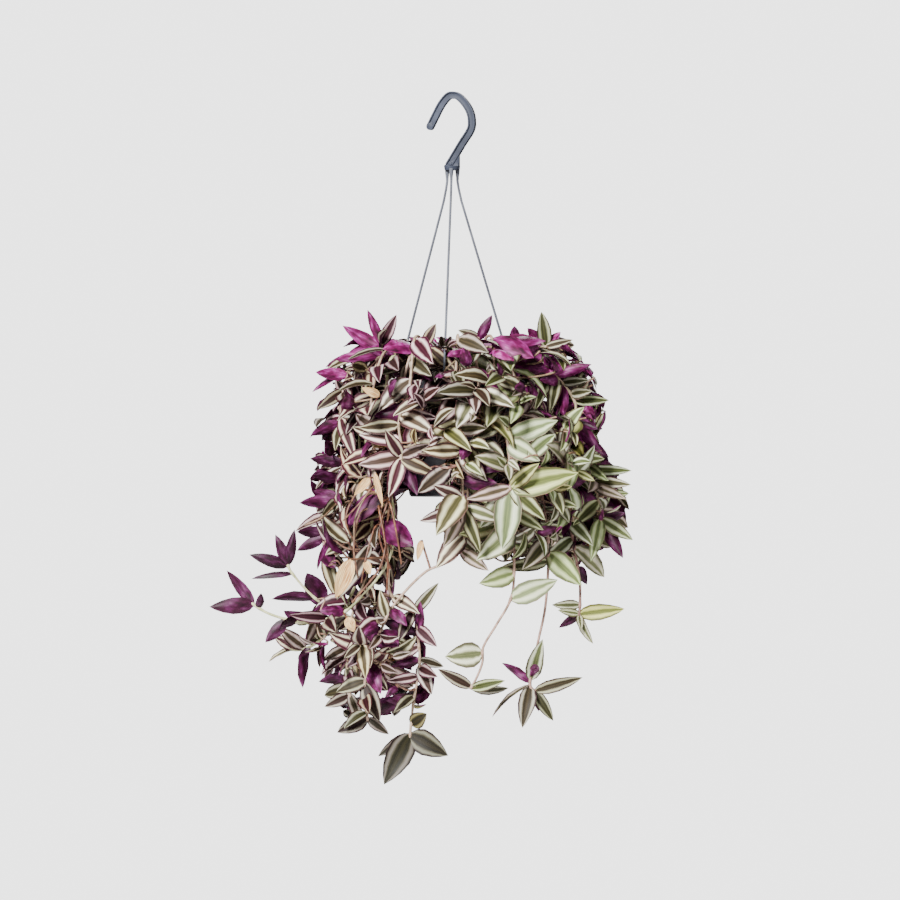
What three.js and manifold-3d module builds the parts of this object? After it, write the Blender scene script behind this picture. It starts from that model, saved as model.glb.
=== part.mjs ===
// A tradescantia (inch plant) in a round plastic hanging pot with a three-strand hanger.
// Millimetres, +Z up. The origin is the seat of the hook, where it hangs on a rail, and the pot's axis is Z.
// +X is to the right and -Y is to the front.

import * as THREE from "three";
import { mergeVertices } from "three/addons/utils/BufferGeometryUtils.js";
import Module from "manifold-3d";

const wasm = await Module();
wasm.setup();

// One step of the planting plan. Places in the plan are [right, back, down] in steps, from the hook's seat.
const PLAN_STEP = 1.1;

// The pot, with radii from its axis.
const POT = {
  rimZ: -310,
  height: 128,
  topRadius: 69,
  baseRadius: 47,
  wall: 1.8,
  flangeRadius: 81,
  flangeThickness: 2,
  lipDrop: 9,
  lipThickness: 1.5,
  footHeight: 3,
  footWidth: 7,
  sides: 22,
  drainRadius: 4.5,
  drainCircle: 22,
  drains: 4,
};

// The potting soil, 0.3 mm clear of the pot.
const SOIL = { edgeBelowRim: 12, crown: 5, clearance: 0.3, holeRadius: 3.9, holeSides: 4, rootDepth: 11 };

// The moulded hanger: a hook of I section, a gusset and a round base under it, and three strands
// that end in barbs under the pot's rim.
const HANGER = {
  turn: -20,
  barWidth: 8,
  barDepth: 6,
  recess: 1.8,
  rib: 1.4,
  gussetDepth: 3.6,
  knobRadius: 2,
  baseRadius: 9,
  baseHeight: 4.5,
  baseZ: -76.3,
  strandRadius: 1.05,
  flareRadius: 2.4,
  flareLength: 12,
  flareCircle: 6.6,
  eyeCircle: 74.8,
  eyeRadius: 1.8,
  barbRadius: 2.7,
  barbLength: 6,
};
// Each strand's direction round the pot, in degrees from the front towards the right.
const STRAND_DIRECTIONS = [-6.8, 113.2, 233.2];
// The hook's centre line from its tip over the crown to the base, as [right, up] in millimetres.
const HOOK_LINE = [
  [-25.2, -30],
  [-18.9, -18],
  [-12.1, -6],
  [-4.6, 2.5],
  [1, 4.05],
  [8, 2.2],
  [15.8, -5.5],
  [21.2, -14.5],
  [23.3, -24],
  [22, -34.5],
  [12.3, -49],
  [3.1, -63.3],
  [-3.5, -73.5],
];
// The gusset between the hook's shank and the base, as [right, up] in millimetres.
const GUSSET = [
  [8.8, -61],
  [8.8, -77],
  [-8.5, -77],
  [-8.5, -73],
];

// Stems and leaf blades.
const STEM = { radius: 2.4, looseRadius: 3.5 };
// A blade is flat above and has a keel below. Its root, inside the stem, has half a width and a keel of its own.
const BLADE = { keel: 1.4, rootHalf: 0.8, rootKeel: 0.8, large: 60 };
const LARGE_SECTIONS = [0.17, 0.46, 0.78];
const SMALL_SECTIONS = [0.27, 0.66];
// The space kept clear round a blade, above and below it and as a share of its width.
const CLEAR = { above: 1.3, below: 2.3, spread: 1.05 };

const Z = new THREE.Vector3(0, 0, 1);
const FRONT = new THREE.Vector3(0, -1, 0);

const COLOURS = {
  pot: new THREE.MeshStandardMaterial({ color: 0x35343c, roughness: 0.55, metalness: 0 }),
  hanger: new THREE.MeshStandardMaterial({ color: 0x5d6272, roughness: 0.45, metalness: 0 }),
  soil: new THREE.MeshStandardMaterial({ color: 0x2b1d15, roughness: 0.95, metalness: 0 }),
  striped: new THREE.MeshStandardMaterial({ color: 0x9da58f, roughness: 0.5, metalness: 0 }),
  purple: new THREE.MeshStandardMaterial({ color: 0x8a2f6c, roughness: 0.5, metalness: 0 }),
};

// A point of the planting plan in millimetres.
function place([right, back, down]) {
  return new THREE.Vector3(right * PLAN_STEP, back * PLAN_STEP, -down * PLAN_STEP);
}

// A point at a radius from the pot's axis, degrees from the front towards the right, and steps down.
function polar(radius, degrees, down) {
  const angle = THREE.MathUtils.degToRad(degrees);
  return [radius * Math.sin(angle), -radius * Math.cos(angle), down];
}

// Repeatable random numbers between two limits, one row of them for each seed.
function dice(seed) {
  let state = (seed * 7919 + 12347) % 2147483647;
  const roll = (low, high) => {
    state = (state * 48271) % 2147483647;
    return low + ((high - low) * state) / 2147483647;
  };
  roll(0, 1);
  roll(0, 1);
  return roll;
}

// A closed three.js geometry as a solid, with shared vertices merged and collapsed faces dropped.
function solid(geometry) {
  const bare = geometry.index ? geometry.toNonIndexed() : geometry.clone();
  for (const name of Object.keys(bare.attributes)) if (name !== "position") bare.deleteAttribute(name);
  const merged = mergeVertices(bare, 1e-4);
  const index = merged.index.array;
  const faces = [];
  for (let i = 0; i < index.length; i += 3) {
    const [a, b, c] = [index[i], index[i + 1], index[i + 2]];
    if (a !== b && b !== c && c !== a) faces.push(a, b, c);
  }
  const build = (triangles) =>
    new wasm.Manifold(
      new wasm.Mesh({
        numProp: 3,
        vertProperties: new Float32Array(merged.attributes.position.array),
        triVerts: new Uint32Array(triangles),
      }),
    );
  const made = build(faces);
  return made.volume() > 0 ? made : build([...faces].reverse());
}

// A solid as a named mesh.
function meshOf(name, made, material) {
  const { numProp, numVert, vertProperties, triVerts } = made.getMesh();
  const positions = new Float32Array(numVert * 3);
  for (let i = 0; i < numVert; i++) positions.set(vertProperties.subarray(i * numProp, i * numProp + 3), i * 3);
  const geometry = new THREE.BufferGeometry();
  geometry.setAttribute("position", new THREE.BufferAttribute(positions, 3));
  geometry.setIndex(new THREE.BufferAttribute(new Uint32Array(triVerts), 1));
  geometry.computeVertexNormals();
  const mesh = new THREE.Mesh(geometry, material);
  mesh.name = name;
  return mesh;
}

// A turned solid round Z from [radius, height] points that start and end on the axis.
function turned(profile, sides) {
  const points = profile.map(([radius, height]) => new THREE.Vector2(radius, height));
  return solid(new THREE.LatheGeometry(points, sides).rotateX(Math.PI / 2));
}

// An upright round solid, or a cone, with its middle at a place.
function upright(top, bottom, height, sides, [x, y, z]) {
  const geometry = new THREE.CylinderGeometry(top, bottom, height, sides).rotateX(Math.PI / 2);
  return solid(geometry.translate(x, y, z));
}

// A stem's line. Equal steps along it are equal shares of its spans, so that its places are always on it.
class StemLine extends THREE.CatmullRomCurve3 {
  constructor(points) {
    super(points, false, "catmullrom", 0.5);
  }
  getUtoTmapping(share) {
    return share;
  }
}

function curveThrough(points) {
  return new THREE.CatmullRomCurve3(points, false, "catmullrom", 0.5);
}

// A round bar through places, straight between them.
function tube(places, radius, sides) {
  const corners = Array.from({ length: sides }, (_, i) => {
    const angle = (i * 2 * Math.PI) / sides;
    return new THREE.Vector2(radius * Math.cos(angle), radius * Math.sin(angle));
  });
  const options = { steps: places.length - 1, extrudePath: new StemLine(places), bevelEnabled: false };
  return solid(new THREE.ExtrudeGeometry(new THREE.Shape(corners), options));
}

// The pot: a tapered bucket with a flat flange, a lip that turns down, a foot ring and drain holes.
function makePot() {
  const { rimZ, height, topRadius, baseRadius, wall, flangeRadius, flangeThickness, lipThickness } = POT;
  const { footHeight, footWidth, lipDrop, sides, drainRadius, drainCircle, drains } = POT;
  const baseZ = rimZ - height;
  let pot = turned(
    [
      [0, baseZ + footHeight],
      [baseRadius - footWidth - 3, baseZ + footHeight],
      [baseRadius - footWidth, baseZ],
      [baseRadius - 2, baseZ],
      [baseRadius, baseZ + 2],
      [topRadius, rimZ - flangeThickness],
      [flangeRadius - lipThickness, rimZ - flangeThickness],
      [flangeRadius - lipThickness, rimZ - lipDrop],
      [flangeRadius, rimZ - lipDrop],
      [flangeRadius, rimZ],
      [topRadius - wall, rimZ],
      [baseRadius - wall, baseZ + footHeight + wall],
      [0, baseZ + footHeight + wall],
    ],
    sides,
  );
  for (let i = 0; i < drains; i++) {
    const [x, y] = polar(drainCircle, 45 + (i * 360) / drains, 0);
    pot = pot.subtract(upright(drainRadius, drainRadius, 12, 6, [x, y, baseZ + footHeight]));
  }
  for (const direction of STRAND_DIRECTIONS) {
    const [x, y] = polar(HANGER.eyeCircle, direction, 0);
    pot = pot.subtract(upright(HANGER.eyeRadius, HANGER.eyeRadius, 6, 6, [x, y, rimZ]));
  }
  return pot;
}

const SOIL_EDGE_Z = POT.rimZ - SOIL.edgeBelowRim;

// The pot's inner radius at a height.
function innerRadius(z) {
  const floorZ = POT.rimZ - POT.height + POT.footHeight + POT.wall;
  const share = (z - floorZ) / (POT.rimZ - floorZ);
  return POT.baseRadius - POT.wall + share * (POT.topRadius - POT.baseRadius);
}

// The height of the soil's surface at a radius from the pot's axis.
function soilZ(radius) {
  const edge = innerRadius(SOIL_EDGE_Z);
  return SOIL_EDGE_Z + SOIL.crown * (1 - radius / edge);
}

// The soil: it fills the pot, a little higher in the middle, with a plain hole for each stem.
function makeSoil(roots) {
  const floorZ = POT.rimZ - POT.height + POT.footHeight + POT.wall + SOIL.clearance;
  let soil = turned(
    [
      [0, floorZ],
      [innerRadius(floorZ) - 2 * SOIL.clearance, floorZ],
      [innerRadius(SOIL_EDGE_Z) - 2 * SOIL.clearance, SOIL_EDGE_Z],
      [0, SOIL_EDGE_Z + SOIL.crown],
    ],
    POT.sides,
  );
  for (const { x, y, z } of roots) {
    const bottom = z - SOIL.clearance;
    const height = SOIL.rootDepth + 12;
    const hole = upright(SOIL.holeRadius, SOIL.holeRadius, height, SOIL.holeSides, [x, y, bottom + height / 2]);
    soil = soil.subtract(hole);
  }
  return soil;
}

// The hook: a bar of I section along its line with a rounded tip, and the gusset with its knob.
function makeHook() {
  const { barWidth, barDepth, recess, rib, gussetDepth, knobRadius, baseRadius, baseHeight, baseZ } = HANGER;
  const [w, d] = [barWidth / 2, barDepth / 2];
  const corners = [
    [-d, -w],
    [d, -w],
    [d, -w + rib],
    [d - recess, -w + rib],
    [d - recess, w - rib],
    [d, w - rib],
    [d, w],
    [-d, w],
    [-d, w - rib],
    [-d + recess, w - rib],
    [-d + recess, -w + rib],
    [-d, -w + rib],
  ];
  const section = new THREE.Shape(corners.map(([x, y]) => new THREE.Vector2(x, y)));
  const line = curveThrough(HOOK_LINE.map(([right, up]) => new THREE.Vector3(right, 0, up)));
  const bar = solid(new THREE.ExtrudeGeometry(section, { steps: 16, extrudePath: line, bevelEnabled: false }));
  const [tipX, tipZ] = HOOK_LINE[0];
  const tip = solid(new THREE.CylinderGeometry(w, w, barDepth, 12).translate(tipX, 0, tipZ));
  const plate = new THREE.Shape(GUSSET.map(([right, up]) => new THREE.Vector2(right, up)));
  const gusset = new THREE.ExtrudeGeometry(plate, { depth: gussetDepth, bevelEnabled: false });
  const standing = solid(gusset.rotateX(Math.PI / 2).translate(0, gussetDepth / 2, 0));
  const knob = solid(new THREE.CylinderGeometry(knobRadius, knobRadius, barDepth + 2, 8).translate(-1, 0, -71.5));
  const base = upright(baseRadius, baseRadius - 1, baseHeight, 12, [0, 0, baseZ]);
  return [tip, standing, knob, base].reduce((a, b) => a.add(b), bar).rotate([0, 0, HANGER.turn]);
}

// One strand: a flare under the base, a thin round line to the rim and a barb under the flange.
function makeStrand(direction) {
  const { baseZ, baseHeight, strandRadius, flareRadius, flareLength, flareCircle, eyeCircle } = HANGER;
  const topZ = baseZ - baseHeight / 2;
  const [topX, topY] = polar(flareCircle, direction, 0);
  const line = tube(strandLine(direction), strandRadius, 5);
  const flare = upright(flareRadius, strandRadius, flareLength + 2, 6, [topX, topY, topZ - flareLength / 2 + 1]);
  const [eyeX, eyeY] = polar(eyeCircle, direction, 0);
  const barbTop = POT.rimZ - POT.flangeThickness - SOIL.clearance;
  const barbZ = barbTop - HANGER.barbLength / 2;
  const barb = upright(HANGER.barbRadius, strandRadius, HANGER.barbLength, 6, [eyeX, eyeY, barbZ]);
  return line.add(flare).add(barb);
}

// The points a strand runs through, from inside the base to its barb.
function strandLine(direction) {
  const { baseZ, baseHeight, flareLength, flareCircle, eyeCircle } = HANGER;
  const topZ = baseZ - baseHeight / 2;
  const stations = [
    [0, topZ + 2],
    [0, topZ - flareLength],
    [0.07, topZ - flareLength - 22],
    [0.94, POT.rimZ + 16],
    [1, POT.rimZ + 4],
    [1, POT.rimZ - 6],
  ];
  return stations.map(([share, z]) => {
    const [x, y] = polar(flareCircle + share * (eyeCircle - flareCircle), direction, 0);
    return new THREE.Vector3(x, y, z);
  });
}

function makeHanger() {
  return STRAND_DIRECTIONS.map(makeStrand).reduce((a, b) => a.add(b), makeHook());
}

// The stems that hang clear of the mound or end at its edge, with their leaves.
// root: [radius, direction] in the soil. lift: how high the stem passes over the rim, 0 for one that stays inside.
// route: the places it then runs through. leaves: [point on the route, tip right, tip back, tip down, width, roll],
// where roll 0 turns the striped face to the front and 180 the purple one.
// fill: [how many more leaves, from which point of the route, to which, their size].
const SPRIGS = [
  {
    name: "trail_front",
    fill: [[4, -1, 1.8, 1], [8, 4.4, 7.8, 0.72]],
    root: [42, 4],
    lift: 20,
    route: [
      [10, -97, 312],
      [16, -101, 380],
      [8, -99, 450],
      [-27, -95, 472],
      [-55, -93, 501],
      [-67, -93, 522],
      [-78, -93, 552],
      [-86, -93, 584],
      [-83, -93, 618],
    ],
    leaves: [
      [1, 44, -108, 408, 17, 10],
      [2, 36, -104, 470, 14, 0],
      [4.8, -71, -100, 489, 13, 0],
      [6.5, -63, -98, 588, 14, 0],
      [7, -71, -103, 618, 20, 10],
      [8, -113, -97, 629, 17, 0],
      [8, -62, -96, 631, 11, 0],
    ],
  },
  {
    name: "trail_bottom",
    fill: [[5, -1, 2.6, 1], [7, 5.2, 9.7, 0.72]],
    root: [42, -30],
    lift: 20,
    route: [
      [-54, -75, 312],
      [-66, -76, 360],
      [-71, -76, 410],
      [-65, -78, 435],
      [-63, -80, 468],
      [-60, -82, 494],
      [-38, -84, 512],
      [-34, -84, 534],
      [-32, -84, 563],
      [-38, -84, 600],
      [-42, -84, 638],
    ],
    leaves: [
      [6, -13, -88, 482, 12, 0],
      [6.9, -71, -90, 519, 13, 180],
      [7.1, -31, -96, 500, 10, 170],
      [7.9, -8, -80, 565, 10, 0],
      [7.9, -60, -88, 565, 12, 180],
      [8.3, -65, -94, 579, 12, 0],
      [8, -20, -92, 592, 16, 0],
      [9.1, -25, -78, 603, 9, 65],
      [9, -66, -88, 598, 12, 180],
      [9.7, -25, -90, 611, 17, 0],
      [9.8, -73, -88, 653, 13, 0],
      [10, -55, -76, 674, 14, 180],
      [10, -67, -92, 680, 27, 0],
      [10, -4, -96, 652, 25, 0],
    ],
  },
  {
    name: "trail_left",
    fill: [[5, -1, 2.4, 0.95], [8, 3.3, 7.7, 0.72]],
    root: [42, -62],
    lift: 20,
    route: [
      [-78, -49, 312],
      [-76, -56, 365],
      [-70, -60, 415],
      [-82, -60, 450],
      [-86, -60, 478],
      [-98, -62, 512],
      [-104, -64, 545],
      [-103, -66, 572],
      [-101, -66, 596],
    ],
    leaves: [
      [2.7, -102, -66, 484, 12, 180],
      [2.9, -114, -70, 500, 17, 0],
      [5.3, -113, -74, 529, 13, 0],
      [6.2, -128, -74, 560, 13, 20],
      [6.9, -94, -76, 590, 13, 0],
      [7.3, -132, -68, 580, 13, 160],
      [8, -126, -70, 605, 13, 0],
      [8, -88, -70, 626, 12, 0],
    ],
  },
  {
    name: "twig_left_low",
    fill: [[4, -1, 2.2, 0.9], [6, 2.8, 6.6, 0.72]],
    root: [42, -78],
    lift: 20,
    route: [
      [-86, -31, 312],
      [-84, -40, 372],
      [-80, -44, 425],
      [-94, -48, 480],
      [-112, -50, 518],
      [-132, -52, 541],
      [-148, -54, 549],
      [-160, -54, 549],
    ],
    leaves: [
      [2, -98, -56, 442, 15, 0],
      [3.4, -84, -54, 520, 13, 0],
      [5, -132, -62, 522, 15, 0],
      [5.8, -148, -60, 587, 14, 140],
      [6, -172, -68, 526, 15, 0],
      [7, -182, -58, 561, 9, 60],
    ],
  },
  {
    name: "twig_left_long",
    fill: [[4, -1, 1.6, 0.9], [5, 3.6, 6.6, 0.68]],
    root: [42, -46],
    lift: 20,
    route: [
      [-66, -61, 312],
      [-62, -66, 380],
      [-57, -66, 430],
      [-66, -69, 467],
      [-99, -76, 506],
      [-122, -79, 517],
      [-145, -81, 522],
      [-161, -82, 519],
      [-182, -84, 512],
      [-198, -85, 502],
    ],
    leaves: [
      [5, -160, -94, 514, 13, 0],
      [7.1, -184, -90, 541, 13, 180],
      [8.6, -188, -92, 492, 9, 20],
      [9, -222, -85, 470, 12, 180],
      [9, -239, -90, 506, 17, 0],
    ],
  },
  {
    name: "twig_left_up",
    fill: [[4, -1, 2.4, 0.9], [3, 3.2, 5.6, 0.68]],
    root: [42, -91],
    lift: 20,
    route: [
      [-91, -14, 312],
      [-92, -24, 370],
      [-88, -30, 420],
      [-84, -34, 470],
      [-98, -38, 502],
      [-116, -41, 511],
      [-128, -43, 505],
      [-144, -46, 491],
      [-159, -50, 473],
      [-163, -50, 465],
    ],
    leaves: [
      [6, -144, -54, 473, 22, 180],
      [6.5, -179, -52, 499, 12, 150],
      [8, -199, -50, 480, 10, 50],
      [9, -201, -52, 455, 13, 0],
      [9, -175, -50, 435, 12, 0],
      [9, -156, -54, 430, 11, 0],
    ],
  },
  {
    name: "side_left_middle",
    fill: [[5, -1, 2.4, 0.85]],
    root: [42, -104],
    lift: 20,
    route: [
      [-92, 18, 314],
      [-106, 0, 352],
      [-112, -16, 388],
      [-114, -24, 404],
    ],
    leaves: [
      [1.4, -142, -10, 360, 13, 170],
      [1.8, -139, -30, 376, 12, 180],
      [2.7, -138, -22, 392, 10, 180],
      [3, -152, -30, 404, 14, 180],
      [3, -130, -44, 418, 13, 0],
    ],
  },
  {
    name: "side_left_low",
    fill: [[5, -1, 3.6, 0.85]],
    root: [42, -116],
    lift: 20,
    route: [
      [-82, 48, 314],
      [-100, 34, 360],
      [-112, 10, 405],
      [-127, -4, 434],
      [-127, -8, 460],
    ],
    leaves: [
      [3, -155, -12, 433, 12, 180],
      [3.2, -155, -8, 452, 12, 180],
      [4, -114, -14, 502, 15, 0],
      [3.8, -104, -22, 470, 14, 0],
    ],
  },
  {
    name: "side_left_high",
    fill: [[4, 0.4, 2.8, 0.85]],
    root: [30, -80],
    lift: 0,
    route: [
      [-60, -12, 246],
      [-92, -18, 254],
      [-109, -26, 296],
      [-111, -32, 330],
    ],
    leaves: [
      [1.6, -136, -30, 274, 13, 180],
      [1.7, -89, -44, 306, 14, 0],
      [2, -134, -36, 311, 13, 0],
      [2.8, -96, -54, 361, 15, 0],
      [3, -141, -38, 337, 13, 160],
      [3, -116, -50, 352, 12, 20],
    ],
  },
  {
    name: "top_left",
    fill: [[3, 0.2, 2.4, 0.8]],
    root: [24, -62],
    lift: 0,
    route: [
      [-40, -30, 262],
      [-58, -36, 256],
      [-70, -40, 252],
      [-70, -40, 246],
    ],
    leaves: [
      [0.9, -67, -54, 259, 11, 180],
      [1.2, -85, -50, 250, 11, 180],
      [1.7, -117, -48, 262, 14, 180],
      [2, -109, -40, 228, 15, 180],
      [3, -55, -44, 217, 13, 0],
      [3, -84, -46, 212, 10, 180],
    ],
  },
  {
    name: "top_front",
    fill: [[3, 0.2, 1.8, 0.9]],
    root: [26, -14],
    lift: 0,
    route: [
      [-22, -44, 250],
      [-37, -52, 250],
      [-44, -57, 266],
    ],
    leaves: [
      [0, -37, -62, 254, 15, 0],
      [0, 6, -62, 277, 14, 0],
      [0.4, -16, -48, 226, 12, 0],
      [1.6, -18, -74, 284, 12, 180],
      [2, -75, -68, 277, 13, 0],
      [2, -56, -62, 252, 12, 0],
      [2, -50, -78, 306, 15, 0],
    ],
  },
  {
    name: "top_middle",
    fill: [[2, 0.2, 1.4, 0.8]],
    root: [16, 30],
    lift: 0,
    route: [
      [18, -26, 262],
      [25, -31, 246],
      [27, -32, 238],
    ],
    leaves: [
      [0.2, 44, -52, 262, 15, 0],
      [0.6, 50, -36, 244, 13, 0],
      [1.6, 40, -36, 217, 11, 0],
      [2, 6, -36, 232, 9, 0],
      [2, 8, -42, 250, 10, 180],
    ],
  },
  {
    name: "top_right",
    fill: [[3, 0.2, 2.6, 0.8]],
    root: [26, 60],
    lift: 0,
    route: [
      [46, -30, 250],
      [68, -34, 246],
      [84, -36, 248],
      [94, -38, 249],
    ],
    leaves: [
      [0.8, 62, -38, 228, 11, 180],
      [1.1, 60, -62, 288, 12, 180],
      [1.7, 84, -60, 288, 12, 180],
      [2.4, 65, -54, 255, 11, 180],
      [2.8, 75, -46, 230, 12, 180],
      [3, 89, -40, 214, 15, 0],
      [3, 108, -42, 234, 10, 180],
      [3, 120, -42, 242, 9, 0],
    ],
  },
  {
    name: "side_right_high",
    fill: [[4, 0.4, 3.6, 0.9]],
    root: [30, 82],
    lift: 0,
    route: [
      [66, -22, 266],
      [96, -30, 274],
      [114, -36, 290],
      [123, -38, 307],
      [119, -46, 324],
    ],
    leaves: [
      [1, 82, -64, 313, 14, 0],
      [1.3, 139, -36, 266, 11, 180],
      [1.5, 97, -62, 315, 13, 0],
      [1.8, 136, -46, 282, 11, 0],
      [1.9, 110, -60, 318, 12, 180],
      [2.4, 138, -56, 293, 13, 0],
      [2.8, 156, -42, 302, 12, 0],
      [3.8, 145, -50, 331, 11, 180],
      [4, 150, -54, 356, 13, 180],
    ],
  },
  {
    name: "side_right",
    fill: [[5, -1, 3.6, 0.95]],
    root: [42, 84],
    lift: 20,
    route: [
      [90, -14, 308],
      [112, -18, 334],
      [134, -24, 366],
      [145, -28, 398],
      [148, -31, 424],
    ],
    leaves: [
      [1.4, 130, -52, 358, 17, 0],
      [2, 155, -50, 382, 13, 0],
      [2.2, 179, -26, 372, 12, 0],
      [2.6, 178, -40, 386, 13, 0],
      [2.8, 173, -46, 400, 12, 0],
      [3.2, 120, -56, 426, 17, 0],
      [4, 173, -36, 414, 11, 180],
      [4, 180, -38, 441, 15, 0],
      [4, 170, -48, 459, 14, 180],
      [4, 138, -50, 462, 16, 0],
    ],
  },
  {
    name: "trail_right_side",
    fill: [[5, -1, 2.6, 0.95]],
    root: [42, 64],
    lift: 20,
    route: [
      [81, -43, 312],
      [102, -46, 360],
      [116, -46, 420],
      [125, -46, 470],
      [127, -46, 486],
      [127, -46, 504],
      [126, -46, 516],
    ],
    leaves: [
      [2, 140, -60, 446, 16, 0],
      [2.4, 90, -56, 462, 16, 0],
      [3, 134, -38, 485, 12, 180],
      [5.2, 99, -54, 505, 11, 0],
      [6, 105, -56, 510, 9, 0],
      [6, 106, -40, 528, 9, 180],
      [6, 128, -54, 530, 8, 0],
      [6, 140, -48, 544, 11, 40],
      [6, 171, -54, 509, 17, 0],
    ],
  },
  {
    name: "trail_right",
    fill: [[4, -1, 2.4, 1]],
    root: [42, 45],
    lift: 20,
    route: [
      [66, -64, 312],
      [84, -66, 370],
      [94, -66, 430],
      [95, -66, 468],
      [92, -68, 508],
      [85, -70, 541],
      [77, -72, 581],
      [82, -72, 590],
    ],
    leaves: [
      [1.6, 58, -82, 420, 17, 0],
      [2.6, 128, -74, 485, 24, 0],
      [2.9, 46, -80, 468, 15, 0],
      [6, 89, -84, 538, 17, 0],
      [6, 84, -86, 562, 10, 180],
      [6, 49, -80, 561, 10, 160],
      [6.2, 39, -74, 615, 11, 70],
      [6.4, 69, -84, 625, 18, 0],
      [7, 86, -66, 610, 9, 180],
      [7, 100, -74, 619, 13, 0],
      [7, 129, -76, 576, 14, 0],
    ],
  },
  {
    name: "trail_right_front",
    fill: [[4, -1, 2.2, 1]],
    root: [42, 24],
    lift: 20,
    route: [
      [37, -85, 312],
      [54, -88, 370],
      [60, -90, 420],
      [61, -90, 476],
      [57, -90, 500],
      [44, -90, 523],
      [31, -90, 545],
      [30, -90, 560],
      [25, -90, 574],
      [18, -90, 587],
    ],
    leaves: [
      [1.8, 90, -100, 430, 15, 0],
      [2.2, 22, -98, 452, 16, 0],
      [3, 27, -100, 483, 21, 0],
      [4, 104, -100, 479, 23, 0],
      [6.6, -7, -98, 555, 26, 0],
      [9, 52, -98, 578, 12, 0],
      [9, 56, -86, 586, 11, 30],
      [9, -14, -92, 567, 13, 0],
    ],
  },
  {
    name: "face_right",
    fill: [[3, -1, 1.4, 1]],
    root: [28, 28],
    lift: 40,
    route: [
      [43, -92, 296],
      [54, -106, 340],
      [57, -113, 375],
      [57, -118, 391],
    ],
    leaves: [
      [0.6, 20, -112, 340, 18, 0],
      [1, 104, -104, 322, 22, 0],
      [1.2, 86, -118, 362, 22, 0],
      [2.9, 14, -122, 400, 16, 0],
      [2.9, 85, -126, 364, 16, 0],
      [3, 124, -112, 373, 27, 0],
      [3, 50, -116, 449, 28, 0],
      [3, 92, -116, 420, 18, 0],
    ],
  },
  {
    name: "face_middle",
    fill: [[4, -1, 2.4, 1]],
    root: [28, 4],
    lift: 40,
    route: [
      [3, -100, 300],
      [8, -112, 345],
      [10, -119, 385],
      [10, -121, 411],
    ],
    leaves: [
      [0.7, 34, -120, 330, 16, 0],
      [1.2, -30, -122, 352, 17, 0],
      [2, 44, -126, 384, 16, 180],
      [2.6, -19, -128, 386, 15, 0],
      [3, 50, -118, 421, 15, 0],
      [3, -32, -122, 421, 15, 0],
      [3, -8, -128, 447, 18, 0],
      [3, 28, -124, 452, 15, 0],
    ],
  },
  {
    name: "face_left",
    fill: [[4, -1, 1.8, 0.95]],
    root: [28, -26],
    lift: 40,
    route: [
      [-42, -92, 290],
      [-52, -94, 322],
      [-50, -94, 348],
      [-50, -96, 361],
    ],
    leaves: [
      [0.8, -14, -102, 320, 16, 0],
      [1.2, -92, -92, 330, 16, 0],
      [2.8, -66, -102, 332, 15, 0],
      [2.8, -22, -106, 346, 14, 0],
      [3, -92, -98, 366, 19, 0],
      [3, -14, -104, 376, 15, 0],
      [3, -62, -102, 398, 17, 0],
      [3, -34, -102, 396, 14, 180],
    ],
  },
];

// The stems that fill the mound, in rings. path: [radius, down from the rim]. leaves: how many, from which point
// of the path; along, side, out and rise set a leaf's direction, and face and up which way its striped face turns.
const RINGS = [
  {
    name: "skirt",
    count: 7,
    start: 92,
    step: 28,
    root: 52,
    path: [
      [56, -8],
      [70, -13],
      [88, -8],
      [97, 24],
      [100, 64],
      [102, 100],
    ],
    leaves: { count: 5, from: 2.2, along: 0.45, side: 0.75, out: 0.35, rise: -0.1, face: 0.85, up: 0.5 },
  },
  {
    name: "shoulder",
    count: 12,
    start: 4,
    step: 30,
    root: 35,
    path: [
      [42, -26],
      [66, -34],
      [92, -28],
      [108, 0],
      [116, 36],
    ],
    leaves: { count: 5, from: 1.3, along: 0.45, side: 0.75, out: 0.3, rise: 0.1, face: 0.5, up: 0.8 },
  },
  {
    name: "crown",
    count: 6,
    start: 20,
    step: 60,
    root: 16,
    path: [
      [18, -14],
      [32, -21],
      [54, -23],
      [74, -20],
    ],
    leaves: { count: 5, from: 0.6, along: 0.4, side: 0.7, out: 0.35, rise: 0.25, face: -0.35, up: 0.8 },
  },
];
// How the filling leaves of the other stems lie.
const SPRIG_FILL = { along: 0.45, side: 0.8, out: 0.35, rise: -0.05, face: 0.9, up: 0.35 };
// The range of a filling leaf's length in millimetres and of its width as a share of that.
const FILL_LEAF = { shortest: 40, longest: 58, narrow: 0.44, wide: 0.54 };

// Where a leaf may go when its own place is taken: [turn, lift] in degrees, then its share of the full length.
const LEAF_TURNS = [0, 12, -12, 24, -24, 36, -36];
const LEAF_LIFTS = [0, 14, -14, 28];
const LEAF_SHARES = [1, 0.86, 0.72];
const STEM_TURNS = [0, 4, -4, 8, -8, 12, -12];

// What is already placed, as triangles that a new stem or leaf has to clear.
const taken = [];

function boxOf(corners) {
  return new THREE.Box3().setFromPoints(corners);
}

// Marks a shape as placed. Its faces before the given one don't count against leaves of the same owner.
function occupy(owner, { points, faces }, outerFrom = 0) {
  faces.forEach((face, i) => {
    const corners = face.map((corner) => points[corner]);
    taken.push({ owner, corners, box: boxOf(corners), outer: i >= outerFrom });
  });
}

const ray = new THREE.Ray();
const meeting = new THREE.Vector3();

function edgeMeets(from, to, [a, b, c]) {
  ray.origin.copy(from);
  ray.direction.subVectors(to, from);
  const length = ray.direction.length();
  ray.direction.divideScalar(length);
  return ray.intersectTriangle(a, b, c, false, meeting) !== null && meeting.distanceTo(from) <= length;
}

function trianglesCross(p, q) {
  return [0, 1, 2].some((i) => edgeMeets(p[i], p[(i + 1) % 3], q) || edgeMeets(q[i], q[(i + 1) % 3], p));
}

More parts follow.
